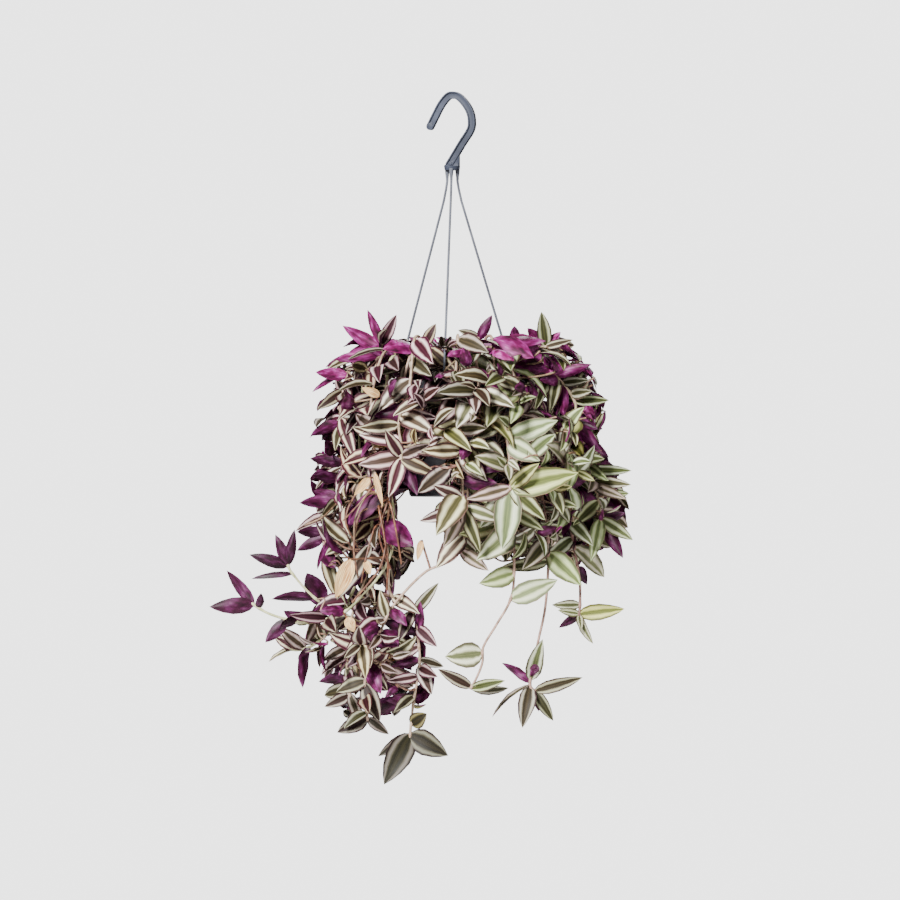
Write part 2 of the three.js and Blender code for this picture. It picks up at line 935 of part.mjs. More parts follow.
// Whether a shape crosses nothing placed, apart from the owners named and the inner parts of its own stem.
function isClear(owner, { points, faces }, outerFrom, passed = []) {
  const whole = boxOf(points);
  const near = taken.filter((other) => !passed.includes(other.owner) && other.box.intersectsBox(whole));
  return !faces.some((face, i) => {
    const corners = face.map((corner) => points[corner]);
    const box = boxOf(corners);
    const outer = i >= outerFrom;
    return near.some((other) => {
      if (other.owner === owner && !(outer && other.outer)) return false;
      return other.box.intersectsBox(box) && trianglesCross(corners, other.corners);
    });
  });
}

// A ring of points joined to the next one, with flat ends or a pointed last one.
function ringFaces(rings, sides) {
  const faces = [];
  for (let r = 0; r + 1 < rings; r++) {
    for (let i = 0; i < sides; i++) {
      const [a, b] = [r * sides + i, r * sides + ((i + 1) % sides)];
      faces.push([a, a + sides, b + sides], [a, b + sides, b]);
    }
  }
  return faces;
}

// A square sleeve round a stem's or a strand's line, to keep other things clear of it.
function sleeve(line, radius) {
  const reference = new THREE.Vector3(0.37, 0.86, 0.35);
  const points = line.flatMap((point, i) => {
    const along = line[Math.min(i + 1, line.length - 1)].clone().sub(line[Math.max(i - 1, 0)]);
    const u = along.clone().cross(reference).normalize();
    const v = along.clone().cross(u).normalize();
    return [u, v, u.clone().negate(), v.clone().negate()].map((d) => point.clone().addScaledVector(d, radius));
  });
  return { points, faces: ringFaces(line.length, 4) };
}

// A turned surface as plain points and faces.
function turnedSurface(profile, sides) {
  const points = profile.flatMap(([radius, z]) =>
    Array.from({ length: sides }, (_, i) => {
      const [x, y] = polar(radius, (i * 360) / sides, 0);
      return new THREE.Vector3(x, y, z);
    }),
  );
  return { points, faces: ringFaces(profile.length, sides) };
}

const RIM_DOWN = -POT.rimZ / PLAN_STEP;

// The point of a stem at a number of places along it.
function stemPoint(places, at) {
  const step = Math.min(at, places.length - 1);
  const start = Math.min(Math.floor(step), places.length - 2);
  return places[start].clone().lerp(places[start + 1], step - start);
}

// Where on a stem its next leaf leaves it: a little before the end, and never just where the last one does.
function leafPoint({ places, leaves }, at) {
  return stemPoint(places, Math.min(at, places.length - 1.07) - 0.029 * (leaves.length % 5));
}

// The start of a stem: down in its hole, then just above the soil.
function rootPlaces([radius, direction]) {
  const surface = soilZ(radius * PLAN_STEP);
  return [surface - SOIL.rootDepth, surface + 7].map((z) => place(polar(radius, direction, -z / PLAN_STEP)));
}

function sprigPlaces({ root, lift, route }) {
  const over = lift === 0 ? [] : [polar(62, root[1], RIM_DOWN - 0.85 * lift), polar(84, root[1], RIM_DOWN - lift)];
  return [...rootPlaces(root), ...over.map(place), ...route.map(place)];
}

// The leaf from a point of a stem to a tip, with its striped face turned to the front and then rolled.
function frontLeaf(base, tip, width, roll) {
  const along = tip.clone().sub(base).normalize();
  const upper = FRONT.clone().addScaledVector(along, -FRONT.dot(along)).normalize();
  upper.applyAxisAngle(along, THREE.MathUtils.degToRad(roll));
  return { base, tip, width, upper, arch: 0.08 };
}

// A filling leaf on a stem that faces some way: alternate leaves take opposite sides of the stem.
function fillLeaf(stem, at, outward, turn, rule, size, roll) {
  const { places } = stem;
  const base = leafPoint(stem, at);
  const across = Z.clone().cross(outward).multiplyScalar(turn);
  const along = stemPoint(places, at + 0.2).sub(stemPoint(places, at - 0.2)).normalize();
  const direction = new THREE.Vector3()
    .addScaledVector(along, rule.along + roll(-0.1, 0.3))
    .addScaledVector(across, rule.side + roll(-0.25, 0.25))
    .addScaledVector(outward, rule.out + roll(-0.2, 0.3))
    .addScaledVector(Z, rule.rise + roll(-0.3, 0.25))
    .normalize();
  const upper = new THREE.Vector3()
    .addScaledVector(outward, rule.face + roll(-0.2, 0.2))
    .addScaledVector(Z, rule.up + roll(-0.2, 0.2))
    .addScaledVector(across, roll(-0.25, 0.25));
  const length = size * roll(FILL_LEAF.shortest, FILL_LEAF.longest);
  const width = length * roll(FILL_LEAF.narrow, FILL_LEAF.wide);
  upper.addScaledVector(direction, -upper.dot(direction)).normalize();
  return { base, tip: base.clone().addScaledVector(direction, length), width, upper, arch: roll(0.05, 0.12) };
}

function awayFromAxis({ x, y }) {
  return new THREE.Vector3(x, y, 0).normalize();
}

// A leaf turned in its own plane, lifted and shortened.
function bent({ base, tip, width, upper, arch }, turn, lift, share) {
  const line = tip.clone().sub(base).multiplyScalar(share);
  line.applyAxisAngle(upper, THREE.MathUtils.degToRad(turn));
  const side = line.clone().cross(upper).normalize();
  const angle = THREE.MathUtils.degToRad(lift);
  line.applyAxisAngle(side, angle);
  const raised = upper.clone().applyAxisAngle(side, angle);
  return { base, tip: base.clone().add(line), width: width * share, upper: raised, arch };
}

// How wide a leaf is at a share of its length, as a share of its full width.
function widthShare(t) {
  return (t ** 0.55 * (1 - t) ** 0.9) / 0.382;
}

// A leaf blade: sections from a narrow root in the stem, and a pointed tip. It is flat above when nothing
// is added there.
function blade({ base, tip, width, upper, arch }, above, below, spread) {
  const line = tip.clone().sub(base);
  const length = line.length();
  const side = line.clone().cross(upper).normalize();
  const shares = [0, ...(length > BLADE.large ? LARGE_SECTIONS : SMALL_SECTIONS)];
  const points = shares.flatMap((t) => {
    const middle = base.clone().addScaledVector(line, t).addScaledVector(upper, arch * length * 4 * t * (1 - t));
    if (t === 0) middle.addScaledVector(upper, BLADE.rootKeel / 2);
    const half = t === 0 ? BLADE.rootHalf : (width / 2) * spread * widthShare(t);
    return [
      middle.clone().addScaledVector(side, half),
      ...(above > 0 ? [middle.clone().addScaledVector(upper, above)] : []),
      middle.clone().addScaledVector(side, -half),
      middle.clone().addScaledVector(upper, t === 0 ? -BLADE.rootKeel : -below),
    ];
  });
  const sides = above > 0 ? 4 : 3;
  const last = (shares.length - 1) * sides;
  const faces = [...(above > 0 ? [[0, 1, 3], [1, 2, 3]] : [[0, 1, 2]]), ...ringFaces(shares.length, sides)];
  for (let i = 0; i < sides; i++) faces.push([last + i, points.length, last + ((i + 1) % sides)]);
  points.push(tip.clone());
  return { points, faces };
}

const BLADE_INNER_FACES = 10;

// The leaf at its own place or the nearest free one, or nothing.
function freeLeaf(owner, leaf) {
  for (const share of LEAF_SHARES) {
    for (const lift of LEAF_LIFTS) {
      for (const turn of LEAF_TURNS) {
        const moved = bent(leaf, turn, lift, share);
        const loose = blade(moved, CLEAR.above, CLEAR.below, CLEAR.spread);
        if (isClear(owner, loose, BLADE_INNER_FACES)) {
          occupy(owner, loose, BLADE_INNER_FACES);
          return moved;
        }
      }
    }
  }
  return null;
}

// Keeps the pot, the soil and the strands clear of what is planted.
function occupyPot() {
  const { rimZ, height, topRadius, baseRadius, flangeRadius, lipDrop } = POT;
  const outside = [
    [baseRadius + 1.2, rimZ - height - 1.2],
    [topRadius + 1.2, rimZ - lipDrop - 1.2],
    [flangeRadius + 1.2, rimZ - lipDrop - 1.2],
    [flangeRadius + 1.2, rimZ + 1.2],
    [topRadius - 3, rimZ + 1.2],
    [innerRadius(SOIL_EDGE_Z) - 1.2, SOIL_EDGE_Z + 1.5],
  ];
  occupy("pot", turnedSurface(outside, 20));
  const ground = [
    [innerRadius(SOIL_EDGE_Z) - 1.2, SOIL_EDGE_Z + 1.5],
    [0.5, SOIL_EDGE_Z + SOIL.crown + 1.5],
  ];
  occupy("soil", turnedSurface(ground, 10));
  for (const direction of STRAND_DIRECTIONS) occupy("strand", sleeve(strandLine(direction), 2.9));
}

// The stems with chosen routes.
function plantSprigs() {
  return SPRIGS.map((sprig) => {
    const places = sprigPlaces(sprig);
    occupy(sprig.name, sleeve(places, STEM.looseRadius));
    return { name: sprig.name, places, hidden: places.length - sprig.route.length, leaves: [], sprig };
  });
}

// The stems of the rings. One whose way is taken turns a little round the pot, or is left out.
function plantRings() {
  const stems = [];
  RINGS.forEach((ring, r) => {
    for (let i = 0; i < ring.count; i++) {
      const roll = dice(100 * r + i + 1);
      const direction = ring.start + i * ring.step + roll(-3, 3);
      const shift = [roll(-3, 4), roll(-6, 6)];
      const name = `${ring.name}_${String(i + 1).padStart(2, "0")}`;
      const stem = STEM_TURNS.map((turn) => ringStem(name, ring, direction, turn, shift)).find((candidate) =>
        isClear(name, sleeve(candidate.places, STEM.looseRadius), 0, ["soil"]),
      );
      if (stem === undefined) continue;
      occupy(name, sleeve(stem.places, STEM.looseRadius));
      stems.push({ ...stem, rule: ring.leaves, seed: 1000 * (r + 1) + 20 * i });
    }
  });
  return stems;
}

function ringStem(name, ring, direction, turn, [wider, lower]) {
  const path = ring.path.map(([radius, down], i) => {
    const share = i / (ring.path.length - 1);
    return place(polar(radius + wider * share, direction + turn, RIM_DOWN + down + lower * share));
  });
  const places = [...rootPlaces([ring.root, direction + turn]), ...path];
  return { name, places, leaves: [] };
}

function addLeaf(stem, leaf) {
  const found = freeLeaf(stem.name, leaf);
  if (found !== null) stem.leaves.push(found);
}

// The leaves with chosen tips.
function addChosenLeaves({ sprig, ...stem }) {
  for (const [at, right, back, down, width, roll] of sprig.leaves) {
    const base = leafPoint(stem, stem.hidden + at);
    addLeaf(stem, frontLeaf(base, place([right, back, down]), width * PLAN_STEP, roll));
  }
}

// The filling leaves of a stem with a chosen route, turned partly to the front.
function addSprigFill({ sprig, ...stem }, number) {
  sprig.fill.forEach(([count, from, to, size], row) => {
    for (let i = 0; i < count; i++) {
      const at = stem.hidden + from + ((to - from) * i) / Math.max(count - 1, 1);
      const outward = awayFromAxis(stemPoint(stem.places, at)).addScaledVector(FRONT, 0.7).normalize();
      const turn = i % 2 === 0 ? 1 : -1;
      const roll = dice(5000 + 100 * number + 20 * row + i);
      addLeaf(stem, fillLeaf(stem, at, outward, turn, SPRIG_FILL, size, roll));
    }
  });
}

// The leaves of a stem of a ring.
function addRingLeaves(stem) {
  const { count, from } = stem.rule;
  const last = stem.places.length - 1;
  for (let i = 0; i < count; i++) {
    const at = 2 + from + ((last - 2 - from) * i) / (count - 1);
    const outward = awayFromAxis(stemPoint(stem.places, at));
    addLeaf(stem, fillLeaf(stem, at, outward, i % 2 === 0 ? 1 : -1, stem.rule, 1, dice(stem.seed + i)));
  }
}

// All the stems with the leaves that have room.
function plant() {
  occupyPot();
  const sprigs = plantSprigs();
  const rings = plantRings();
  sprigs.forEach(addChosenLeaves);
  sprigs.forEach(addSprigFill);
  rings.forEach(addRingLeaves);
  return [...sprigs, ...rings];
}

// The size under which a detail of a fused surface is smoothed away, in millimetres.
const SLIVER = 0.03;

// Plain points and faces as a solid.
function bodyOf({ points, faces }) {
  const vertProperties = new Float32Array(points.flatMap((point) => point.toArray()));
  const build = (triangles) =>
    new wasm.Manifold(new wasm.Mesh({ numProp: 3, vertProperties, triVerts: new Uint32Array(triangles) }));
  const made = build(faces.flat());
  return made.volume() > 0 ? made : build(faces.flatMap(([a, b, c]) => [a, c, b]));
}

// A stem with its leaves, in one piece.
function makeStem({ places, leaves }) {
  const stem = tube(places, STEM.radius, 3);
  const blades = leaves.map((leaf) => bodyOf(blade(leaf, 0, BLADE.keel, 1)));
  return tidied(wasm.Manifold.union([stem, ...blades]));
}

// A solid without slivers, and without any crumb that they leave.
function tidied(made) {
  const pieces = made.simplify(SLIVER).decompose();
  return pieces.reduce((largest, piece) => (piece.volume() > largest.volume() ? piece : largest));
}

const stems = plant();
const roots = stems.map(({ places }) => places[0]);
const part = new THREE.Group();
part.name = "hanging_tradescantia";
part.add(meshOf("pot", makePot(), COLOURS.pot));
part.add(meshOf("soil", makeSoil(roots), COLOURS.soil));
part.add(meshOf("hanger", makeHanger(), COLOURS.hanger));
stems.forEach((stem, i) => {
  const colour = i % 4 === 3 ? COLOURS.purple : COLOURS.striped;
  part.add(meshOf(stem.name, makeStem(stem), colour));
});

export default part;
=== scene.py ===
# %% [markdown]
# # A tradescantia in a hanging pot
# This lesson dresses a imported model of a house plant: a hook with three thin strands, a round plastic
# pot, and a mound of striped inch plant that spills over its rim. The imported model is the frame. It
# says where every piece is, and each piece made here stands for one of its nodes.

import math

import bpy
import numpy as np
from mathutils import Matrix, Vector
from mathutils.bvhtree import BVHTree
from mathutils.kdtree import KDTree


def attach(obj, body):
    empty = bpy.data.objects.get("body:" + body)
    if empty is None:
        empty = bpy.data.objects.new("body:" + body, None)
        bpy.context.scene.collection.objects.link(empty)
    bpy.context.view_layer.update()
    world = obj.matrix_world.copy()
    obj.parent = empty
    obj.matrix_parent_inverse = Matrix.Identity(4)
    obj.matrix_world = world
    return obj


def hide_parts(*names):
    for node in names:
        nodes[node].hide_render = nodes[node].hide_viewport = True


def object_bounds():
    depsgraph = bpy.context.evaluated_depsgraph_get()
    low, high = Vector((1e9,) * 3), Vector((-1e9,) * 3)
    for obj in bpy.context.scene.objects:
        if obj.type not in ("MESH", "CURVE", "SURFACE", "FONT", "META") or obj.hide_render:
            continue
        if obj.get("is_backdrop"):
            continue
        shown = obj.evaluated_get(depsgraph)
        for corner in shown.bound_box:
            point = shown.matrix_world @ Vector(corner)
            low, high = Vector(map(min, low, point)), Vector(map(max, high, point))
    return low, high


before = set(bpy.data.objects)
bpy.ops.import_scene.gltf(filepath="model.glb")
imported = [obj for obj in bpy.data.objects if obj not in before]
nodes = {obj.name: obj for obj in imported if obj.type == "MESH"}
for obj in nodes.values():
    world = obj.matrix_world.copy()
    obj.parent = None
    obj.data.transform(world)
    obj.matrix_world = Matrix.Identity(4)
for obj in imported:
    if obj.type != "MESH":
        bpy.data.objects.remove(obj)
cad_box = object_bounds()
print("the frame has", len(nodes), "nodes")

# %% [markdown]
# The pot's axis is Z and the seat of the hook is the origin. Lengths are easier to think of in
# millimetres, and Blender wants metres, so MM turns one into the other.

# %% Units and the camera
MM = 0.001
CAMERA_DISTANCE = 6.0
CAMERA_LENS = 218.0
FAR_CLIP = 100
VIEW_CENTRE = Vector((-2.2 * MM, 0, -386.6 * MM))


def select(*pieces):
    """Selects only these pieces, in object mode, because an operator acts on all that is selected."""
    if bpy.context.object and bpy.context.object.mode != "OBJECT":
        bpy.ops.object.mode_set(mode="OBJECT")
    bpy.ops.object.select_all(action="DESELECT")
    for piece in pieces:
        piece.select_set(True)
    if pieces:
        bpy.context.view_layer.objects.active = pieces[0]


select()
bpy.ops.object.camera_add(location=VIEW_CENTRE - Vector((0, CAMERA_DISTANCE, 0)), rotation=(math.pi / 2, 0, 0))
camera = bpy.context.object
camera.data.lens = CAMERA_LENS
camera.data.clip_end = FAR_CLIP
bpy.context.scene.camera = camera
print("the camera looks from", CAMERA_DISTANCE, "m in front")

# %% [markdown]
# The stage is a plain pale floor well under the plant, and soft light: one large lamp from the upper
# left, a weaker one from the right, one from behind and above, and a pale sky that fills the shadows.
# The sky looks paler than it lights, so that the gaps between the leaves stay dark. Materials are node
# trees, so first come a way to write colours, and one function that adds a node of any kind.

# %% The stage and the lights
FLOOR_Z = -0.98
FLOOR_RADIUS = 1.15
SKY_LIGHTS = 0.23
SKY_LOOKS = 3.2
# Name, place, size in metres, and power in watts.
LAMPS = [
    ("key", (-1.4, -2.5, 1.2), 0.9, 410),
    ("fill", (2.2, -1.9, 0.1), 1.8, 34),
    ("rim", (0.4, 2.6, 1.0), 1.6, 60),
]


def srgb(text):
    """A colour written as six hex digits, as linear numbers."""
    channels = [int(text[i : i + 2], 16) / 255 for i in (0, 2, 4)]
    linear = [c / 12.92 if c <= 0.04045 else ((c + 0.055) / 1.055) ** 2.4 for c in channels]
    return (*linear, 1.0)


def plug(node, links):
    """Gives a node's inputs a number or a hex colour, or links them to another node or socket."""
    for name, value in links.items():
        if isinstance(value, bpy.types.Node):
            value = next(output for output in value.outputs if output.enabled)
        if isinstance(value, bpy.types.NodeSocket):
            node.id_data.links.new(value, node.inputs[name])
        else:
            node.inputs[name].default_value = srgb(value) if isinstance(value, str) else value


def add(tree, kind, links, stops=(), **settings):
    """Adds a shader node with its links and settings, and the (place, colour) stops of a ramp."""
    node = tree.nodes.new("ShaderNode" + kind)
    for name, value in settings.items():
        setattr(node, name, value)
    for _ in stops[2:]:
        node.color_ramp.elements.new(0.5)
    for i, (place, colour) in enumerate(stops):
        node.color_ramp.elements[i].position = place
        node.color_ramp.elements[i].color = srgb(colour)
    plug(node, links)
    return node


def new_material(name):
    """A material with its tree, its one shader, and the piece's own coordinates."""
    material = bpy.data.materials.new(name)
    material.use_nodes = True
    tree = material.node_tree
    return material, tree, tree.nodes["Principled BSDF"], add(tree, "TexCoord", {}).outputs["Object"]


# Noise scales count waves in a metre, so 3 gives clouds a third of a metre wide.
stage_paint, tree, shader, coordinates = new_material("pale_studio_paint")
mottle = add(tree, "TexNoise", {"Vector": coordinates, "Scale": 3.0})
paint = add(tree, "ValToRGB", {0: mottle}, stops=[(0.3, "f1f1f0"), (0.7, "f5f5f4")])
plug(shader, {"Base Color": paint, "Roughness": 0.9})

bpy.ops.mesh.primitive_circle_add(vertices=64, radius=FLOOR_RADIUS, fill_type="NGON", location=(0, 0, FLOOR_Z))
floor = bpy.context.object
floor.name = "floor"
floor.data.materials.append(stage_paint)
floor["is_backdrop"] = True

for name, place, size, power in LAMPS:
    bpy.ops.object.light_add(type="AREA", location=place)
    lamp = bpy.context.object
    lamp.name = name
    lamp.data.size = size
    lamp.data.energy = power
    lamp.rotation_euler = (VIEW_CENTRE - lamp.location).to_track_quat("-Z", "Y").to_euler()

sky = bpy.context.scene.world or bpy.data.worlds.new("sky")
bpy.context.scene.world = sky
sky.use_nodes = True
tree = sky.node_tree
lighting = tree.nodes["Background"]
plug(lighting, {"Color": "ffffff", "Strength": SKY_LIGHTS})
seen = add(tree, "Background", {"Color": "ffffff", "Strength": SKY_LOOKS})
rays = add(tree, "LightPath", {})
both = add(tree, "MixShader", {0: rays.outputs["Is Camera Ray"], 1: lighting, 2: seen})
plug(tree.nodes["World Output"], {"Surface": both})
print(len(LAMPS), "lamps, and a floor", 2 * FLOOR_RADIUS, "m across")

# %% [markdown]
# ## Turned pieces
# The pot is injection-moulded polypropylene, and the soil takes its shape from the pot. Both are round,
# so both start as a filled circle. The open edge is then extruded up the outline, one ring at a time,
# and scaled to the next radius. A lathe modifier would do too, but rings can be selected later.

# %% Raise a round shape ring by ring
MOULD_RADIUS = 0.35


def finish_mesh(piece, name):
    """Names a piece and puts its place into its mesh."""
    select(piece)
    bpy.ops.object.transform_apply(location=True, rotation=True, scale=True)
    piece.name = name
    piece.data.name = name
    return piece


def apply_modifier(piece, kind, **settings):
    """Adds a modifier with its settings and applies it."""
    select(piece)
    modifier = piece.modifiers.new(kind.lower(), kind)
    for name, value in settings.items():
        setattr(modifier, name, value)
    bpy.ops.object.modifier_apply(modifier=modifier.name)


def soft_edges(piece, sharpest):
    """Gives edges sharper than an angle in degrees the small radius that a mould leaves."""
    angle = math.radians(sharpest)
    apply_modifier(piece, "BEVEL", width=MOULD_RADIUS * MM, segments=2, limit_method="ANGLE", angle_limit=angle)


def smooth_by_angle(piece, degrees):
    """Smooth shading that keeps every edge sharper than an angle."""
    select(piece)
    bpy.ops.object.shade_smooth_by_angle(angle=math.radians(degrees))


def face_outwards():
    """Turns all faces of the piece in edit mode outwards, and leaves edit mode."""
    bpy.ops.mesh.select_all(action="SELECT")
    bpy.ops.mesh.normals_make_consistent(inside=False)
    bpy.ops.object.mode_set(mode="OBJECT")


def raise_rings(profile, sides):
    """A closed round solid from (radius, height) rings in millimetres, closed by a fan at both ends."""
    select()
    radius, height = profile[0]
    bpy.ops.mesh.primitive_circle_add(
        vertices=sides, radius=radius * MM, fill_type="TRIFAN", location=(0, 0, height * MM)
    )
    bpy.ops.object.transform_apply(location=True)
    bpy.ops.object.mode_set(mode="EDIT")
    bpy.ops.mesh.region_to_loop()
    for (radius, height), (next_radius, next_height) in zip(profile, profile[1:]):
        rise = (0, 0, (next_height - height) * MM)
        bpy.ops.mesh.extrude_edges_move(TRANSFORM_OT_translate={"value": rise})
        share = next_radius / radius
        bpy.ops.transform.resize(value=(share, share, 1), center_override=(0, 0, next_height * MM))
    bpy.ops.mesh.edge_face_add()
    bpy.ops.mesh.poke()
    face_outwards()
    return bpy.context.object


def hand_over(piece, slot, *names):
    """A finished piece rides on the plant's one body and stands for its nodes."""
    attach(piece, "root")
    if names:
        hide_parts(*names)
    print(piece.name, "has", len(piece.data.polygons), "faces")


# %% [markdown]
# ## The pot
# A hanging pot is a tapered bucket with a thin wall. Its flange carries the strands and turns down at
# the edge into a lip. It stands on a foot ring and drains through four holes. The holes and the three
# eyes for the strands are cut with a boolean, because they cross the rings at any angle.

# %% Model the pot
RIM_Z = -310.0
TOP_RADIUS = 69.0
BASE_RADIUS = 47.0
WALL = 1.8
FLANGE_RADIUS = 81.0
POT_HEIGHT = 128.0
FLOOR_TOP = RIM_Z - POT_HEIGHT + 4.8
# Radius and depth below the rim: the bottom, foot, wall, flange and lip outside, then the inside.
OUTSIDE = [
    (18.0, 125.0), (37.0, 125.0), (40.0, POT_HEIGHT), (45.0, POT_HEIGHT), (BASE_RADIUS, 126.0), (63.6, 33.0),
    (65.2, 30.5), (TOP_RADIUS, 2.0), (79.5, 2.0), (79.5, 9.0), (FLANGE_RADIUS, 9.0), (FLANGE_RADIUS, 1.0),
    (80.0, 0.0), (68.4, 0.0), (67.2, 1.0),
]
POT_PROFILE = [(radius, RIM_Z - depth) for radius, depth in OUTSIDE]
POT_PROFILE += [(45.2, FLOOR_TOP + 1.0), (44.0, FLOOR_TOP), (18.0, FLOOR_TOP)]
DRAIN_RADIUS = 4.5
DRAIN_CIRCLE = 22
DRAIN_DIRECTIONS = (45, 135, 225, 315)
EYE_RADIUS = 1.8
EYE_CIRCLE = 74.8
STRAND_DIRECTIONS = (-6.8, 113.2, 233.2)


def round_place(radius, degrees, height):
    """A point in millimetres, at a radius and in degrees from the front towards the right."""
    angle = math.radians(degrees)
    return Vector((radius * math.sin(angle), -radius * math.cos(angle), height))


def cut_hole(piece, radius, place, depth):
    """Cuts an upright round hole."""
    select()
    bpy.ops.mesh.primitive_cylinder_add(vertices=24, radius=radius * MM, depth=depth * MM, location=place * MM)
    drill = bpy.context.object
    apply_modifier(piece, "BOOLEAN", operation="DIFFERENCE", solver="EXACT", object=drill)
    bpy.data.objects.remove(drill)


pot = raise_rings(POT_PROFILE, sides=96)
for direction in DRAIN_DIRECTIONS:
    cut_hole(pot, DRAIN_RADIUS, round_place(DRAIN_CIRCLE, direction, FLOOR_TOP - 1), depth=12)
for direction in STRAND_DIRECTIONS:
    cut_hole(pot, EYE_RADIUS, round_place(EYE_CIRCLE, direction, RIM_Z), depth=6)
soft_edges(pot, sharpest=35)
smooth_by_angle(pot, degrees=32)
finish_mesh(pot, "moulded_pot")

# %% [markdown]
# Charcoal polypropylene is smooth from the mould but not glossy. What gives it away is a soft broad
# shine, a faint orange-peel, fine scuffs round the pot from stacking, and a dusting of dry peat. The
# peel is drawn at 1.1 mm, coarser than the real one, because that would not show.

# %% Charcoal polypropylene
# Patches of 45 mm, scuffs 17 mm long and 1.2 mm high, and a peel of 1.1 mm.
polypropylene, tree, shader, coordinates = new_material("charcoal_polypropylene_moulded")
cloud = add(tree, "TexNoise", {"Vector": coordinates, "Scale": 22.0, "Detail": 4.0})
stretch = add(tree, "Mapping", {"Vector": coordinates, "Scale": (1.0, 1.0, 14.0)})
scuffs = add(tree, "TexNoise", {"Vector": stretch, "Scale": 60.0, "Detail": 6.0})
dust = add(tree, "ValToRGB", {0: scuffs}, stops=[(0.0, "26262d"), (0.55, "2d2c34"), (0.8, "3c3a40")])
patches = add(tree, "ValToRGB", {0: cloud}, stops=[(0.3, "e2e0dc"), (0.7, "ffffff")])
charcoal = add(tree, "Mix", {0: 0.8, 6: dust, 7: patches}, data_type="RGBA", blend_type="MULTIPLY")
shine = add(tree, "MapRange", {"Value": cloud, "To Min": 0.36, "To Max": 0.52})
peel = add(tree, "TexNoise", {"Vector": coordinates, "Scale": 900.0, "Detail": 2.0})
bump = add(tree, "Bump", {"Height": peel, "Strength": 0.12, "Distance": 0.2 * MM})
plug(shader, {"Base Color": charcoal, "Roughness": shine, "Normal": bump})
pot.data.materials.append(polypropylene)
hand_over(pot, "pot", "pot")

# %% [markdown]
# ## The soil
# Potting soil is peat with white perlite. It fills the pot to 12 mm below the rim and stands a little
# higher in the middle. The surface is raised in rings, and a clouds texture pushes it up and down.
# Crumbs and perlite are one rough pebble, copied with other sizes and turns and half sunk.

# %% Model the soil
SOIL_EDGE_Z = RIM_Z - 12.0
SOIL_CROWN = 5.0
SOIL_CLEARANCE = 0.6
SOIL_RING_RADII = range(61, 4, -4)
LUMP_SIZE = 9
LUMP_HEIGHT = 5
GRIT_SIZE = 0.9


def inner_radius(z):
    """The pot's inner radius at a height."""
    share = (z - FLOOR_TOP) / (RIM_Z - FLOOR_TOP)
    return BASE_RADIUS - WALL + share * (TOP_RADIUS - BASE_RADIUS)


SOIL_RADIUS = inner_radius(SOIL_EDGE_Z)


def soil_z(radius):
    """The height of the soil at a radius from the pot's axis."""
    return SOIL_EDGE_Z + SOIL_CROWN * (1 - radius / SOIL_RADIUS)


def clouds(name, size, depth):
    """A texture of soft lumps of a size in millimetres."""
    texture = bpy.data.textures.new(name, "CLOUDS")
    texture.noise_scale = size * MM
    texture.noise_depth = depth
    return texture


soil_floor = FLOOR_TOP + 0.3
soil_rings = [(20.0, soil_floor), (inner_radius(soil_floor) - SOIL_CLEARANCE, soil_floor)]
soil_rings += [(SOIL_RADIUS - SOIL_CLEARANCE, SOIL_EDGE_Z)]
soil_rings += [(radius, soil_z(radius)) for radius in SOIL_RING_RADII]
soil = raise_rings(soil_rings, sides=72)
top = soil.vertex_groups.new(name="top")
top.add([v.index for v in soil.data.vertices if v.co.z > (SOIL_EDGE_Z + 0.1) * MM], 1.0, "REPLACE")
apply_modifier(
    soil, "DISPLACE", texture=clouds("soil_lumps", LUMP_SIZE, 3), texture_coords="LOCAL", direction="Z",
    strength=LUMP_HEIGHT * MM, mid_level=0.5, vertex_group="top",
)
smooth_by_angle(soil, degrees=60)

select()
bpy.ops.mesh.primitive_ico_sphere_add(subdivisions=2, radius=MM)
pebble = bpy.context.object
grit = clouds("pebble_grit", GRIT_SIZE, 2)
apply_modifier(pebble, "DISPLACE", texture=grit, texture_coords="LOCAL", strength=GRIT_SIZE * MM, mid_level=0.5)
print("the soil is", round(2 * SOIL_RADIUS), "mm across")

# %% [markdown]
# Wet peat is nearly black and matt, with brown fibres. Perlite is a white foamed glass, so it is pale,
# rough and a little dirty. Both are a fine grain that colours the surface and also roughens it.

# %% Peat and perlite
PEAT_TONES = [(0.3, "120b07"), (0.5, "2b1d14"), (0.62, "46301f"), (0.78, "6b4a30")]
PERLITE_TONES = [(0.3, "8f8576"), (0.5, "d9d5cc"), (0.7, "efece5")]


def grainy(name, scale, detail, tones, roughness, strength):
    """A matt finish whose grain gives both its colour and its bumps."""
    material, tree, shader, coordinates = new_material(name)
    grains = add(tree, "TexNoise", {"Vector": coordinates, "Scale": scale, "Detail": detail})
    tint = add(tree, "ValToRGB", {0: grains}, stops=tones)
    bump = add(tree, "Bump", {"Height": grains, "Strength": strength, "Distance": MM})
    plug(shader, {"Base Color": tint, "Roughness": roughness, "Normal": bump})
    return material


# Crumbs of 2.4 mm with much finer fibres in them, and foam of 1.1 mm.
peat = grainy("peat_potting_soil", 420.0, 8.0, PEAT_TONES, roughness=0.93, strength=0.9)
perlite = grainy("perlite_foamed_glass", 900.0, 5.0, PERLITE_TONES, roughness=0.85, strength=0.5)
print("two grains:", peat.name, perlite.name)

# %% [markdown]
# Random numbers come from a small generator of the lesson's own, so that they are the same each time.
# One pebble in four is perlite.

# %% Scatter the pebbles
PEBBLES = 230
PEBBLE_SEED = 77
PEBBLE_SPREAD = 0.86
# Size and height over the soil, in millimetres, and how far a pebble is stretched and flattened.
CRUMB_SIZES, PERLITE_SIZES, PEBBLE_HEIGHTS = (0.8, 2.1), (0.9, 1.8), (0.2, 1.4)
STRETCHES, FLATTENINGS = (0.8, 1.3), (0.6, 1.0)
FULL_TURN = 6.28


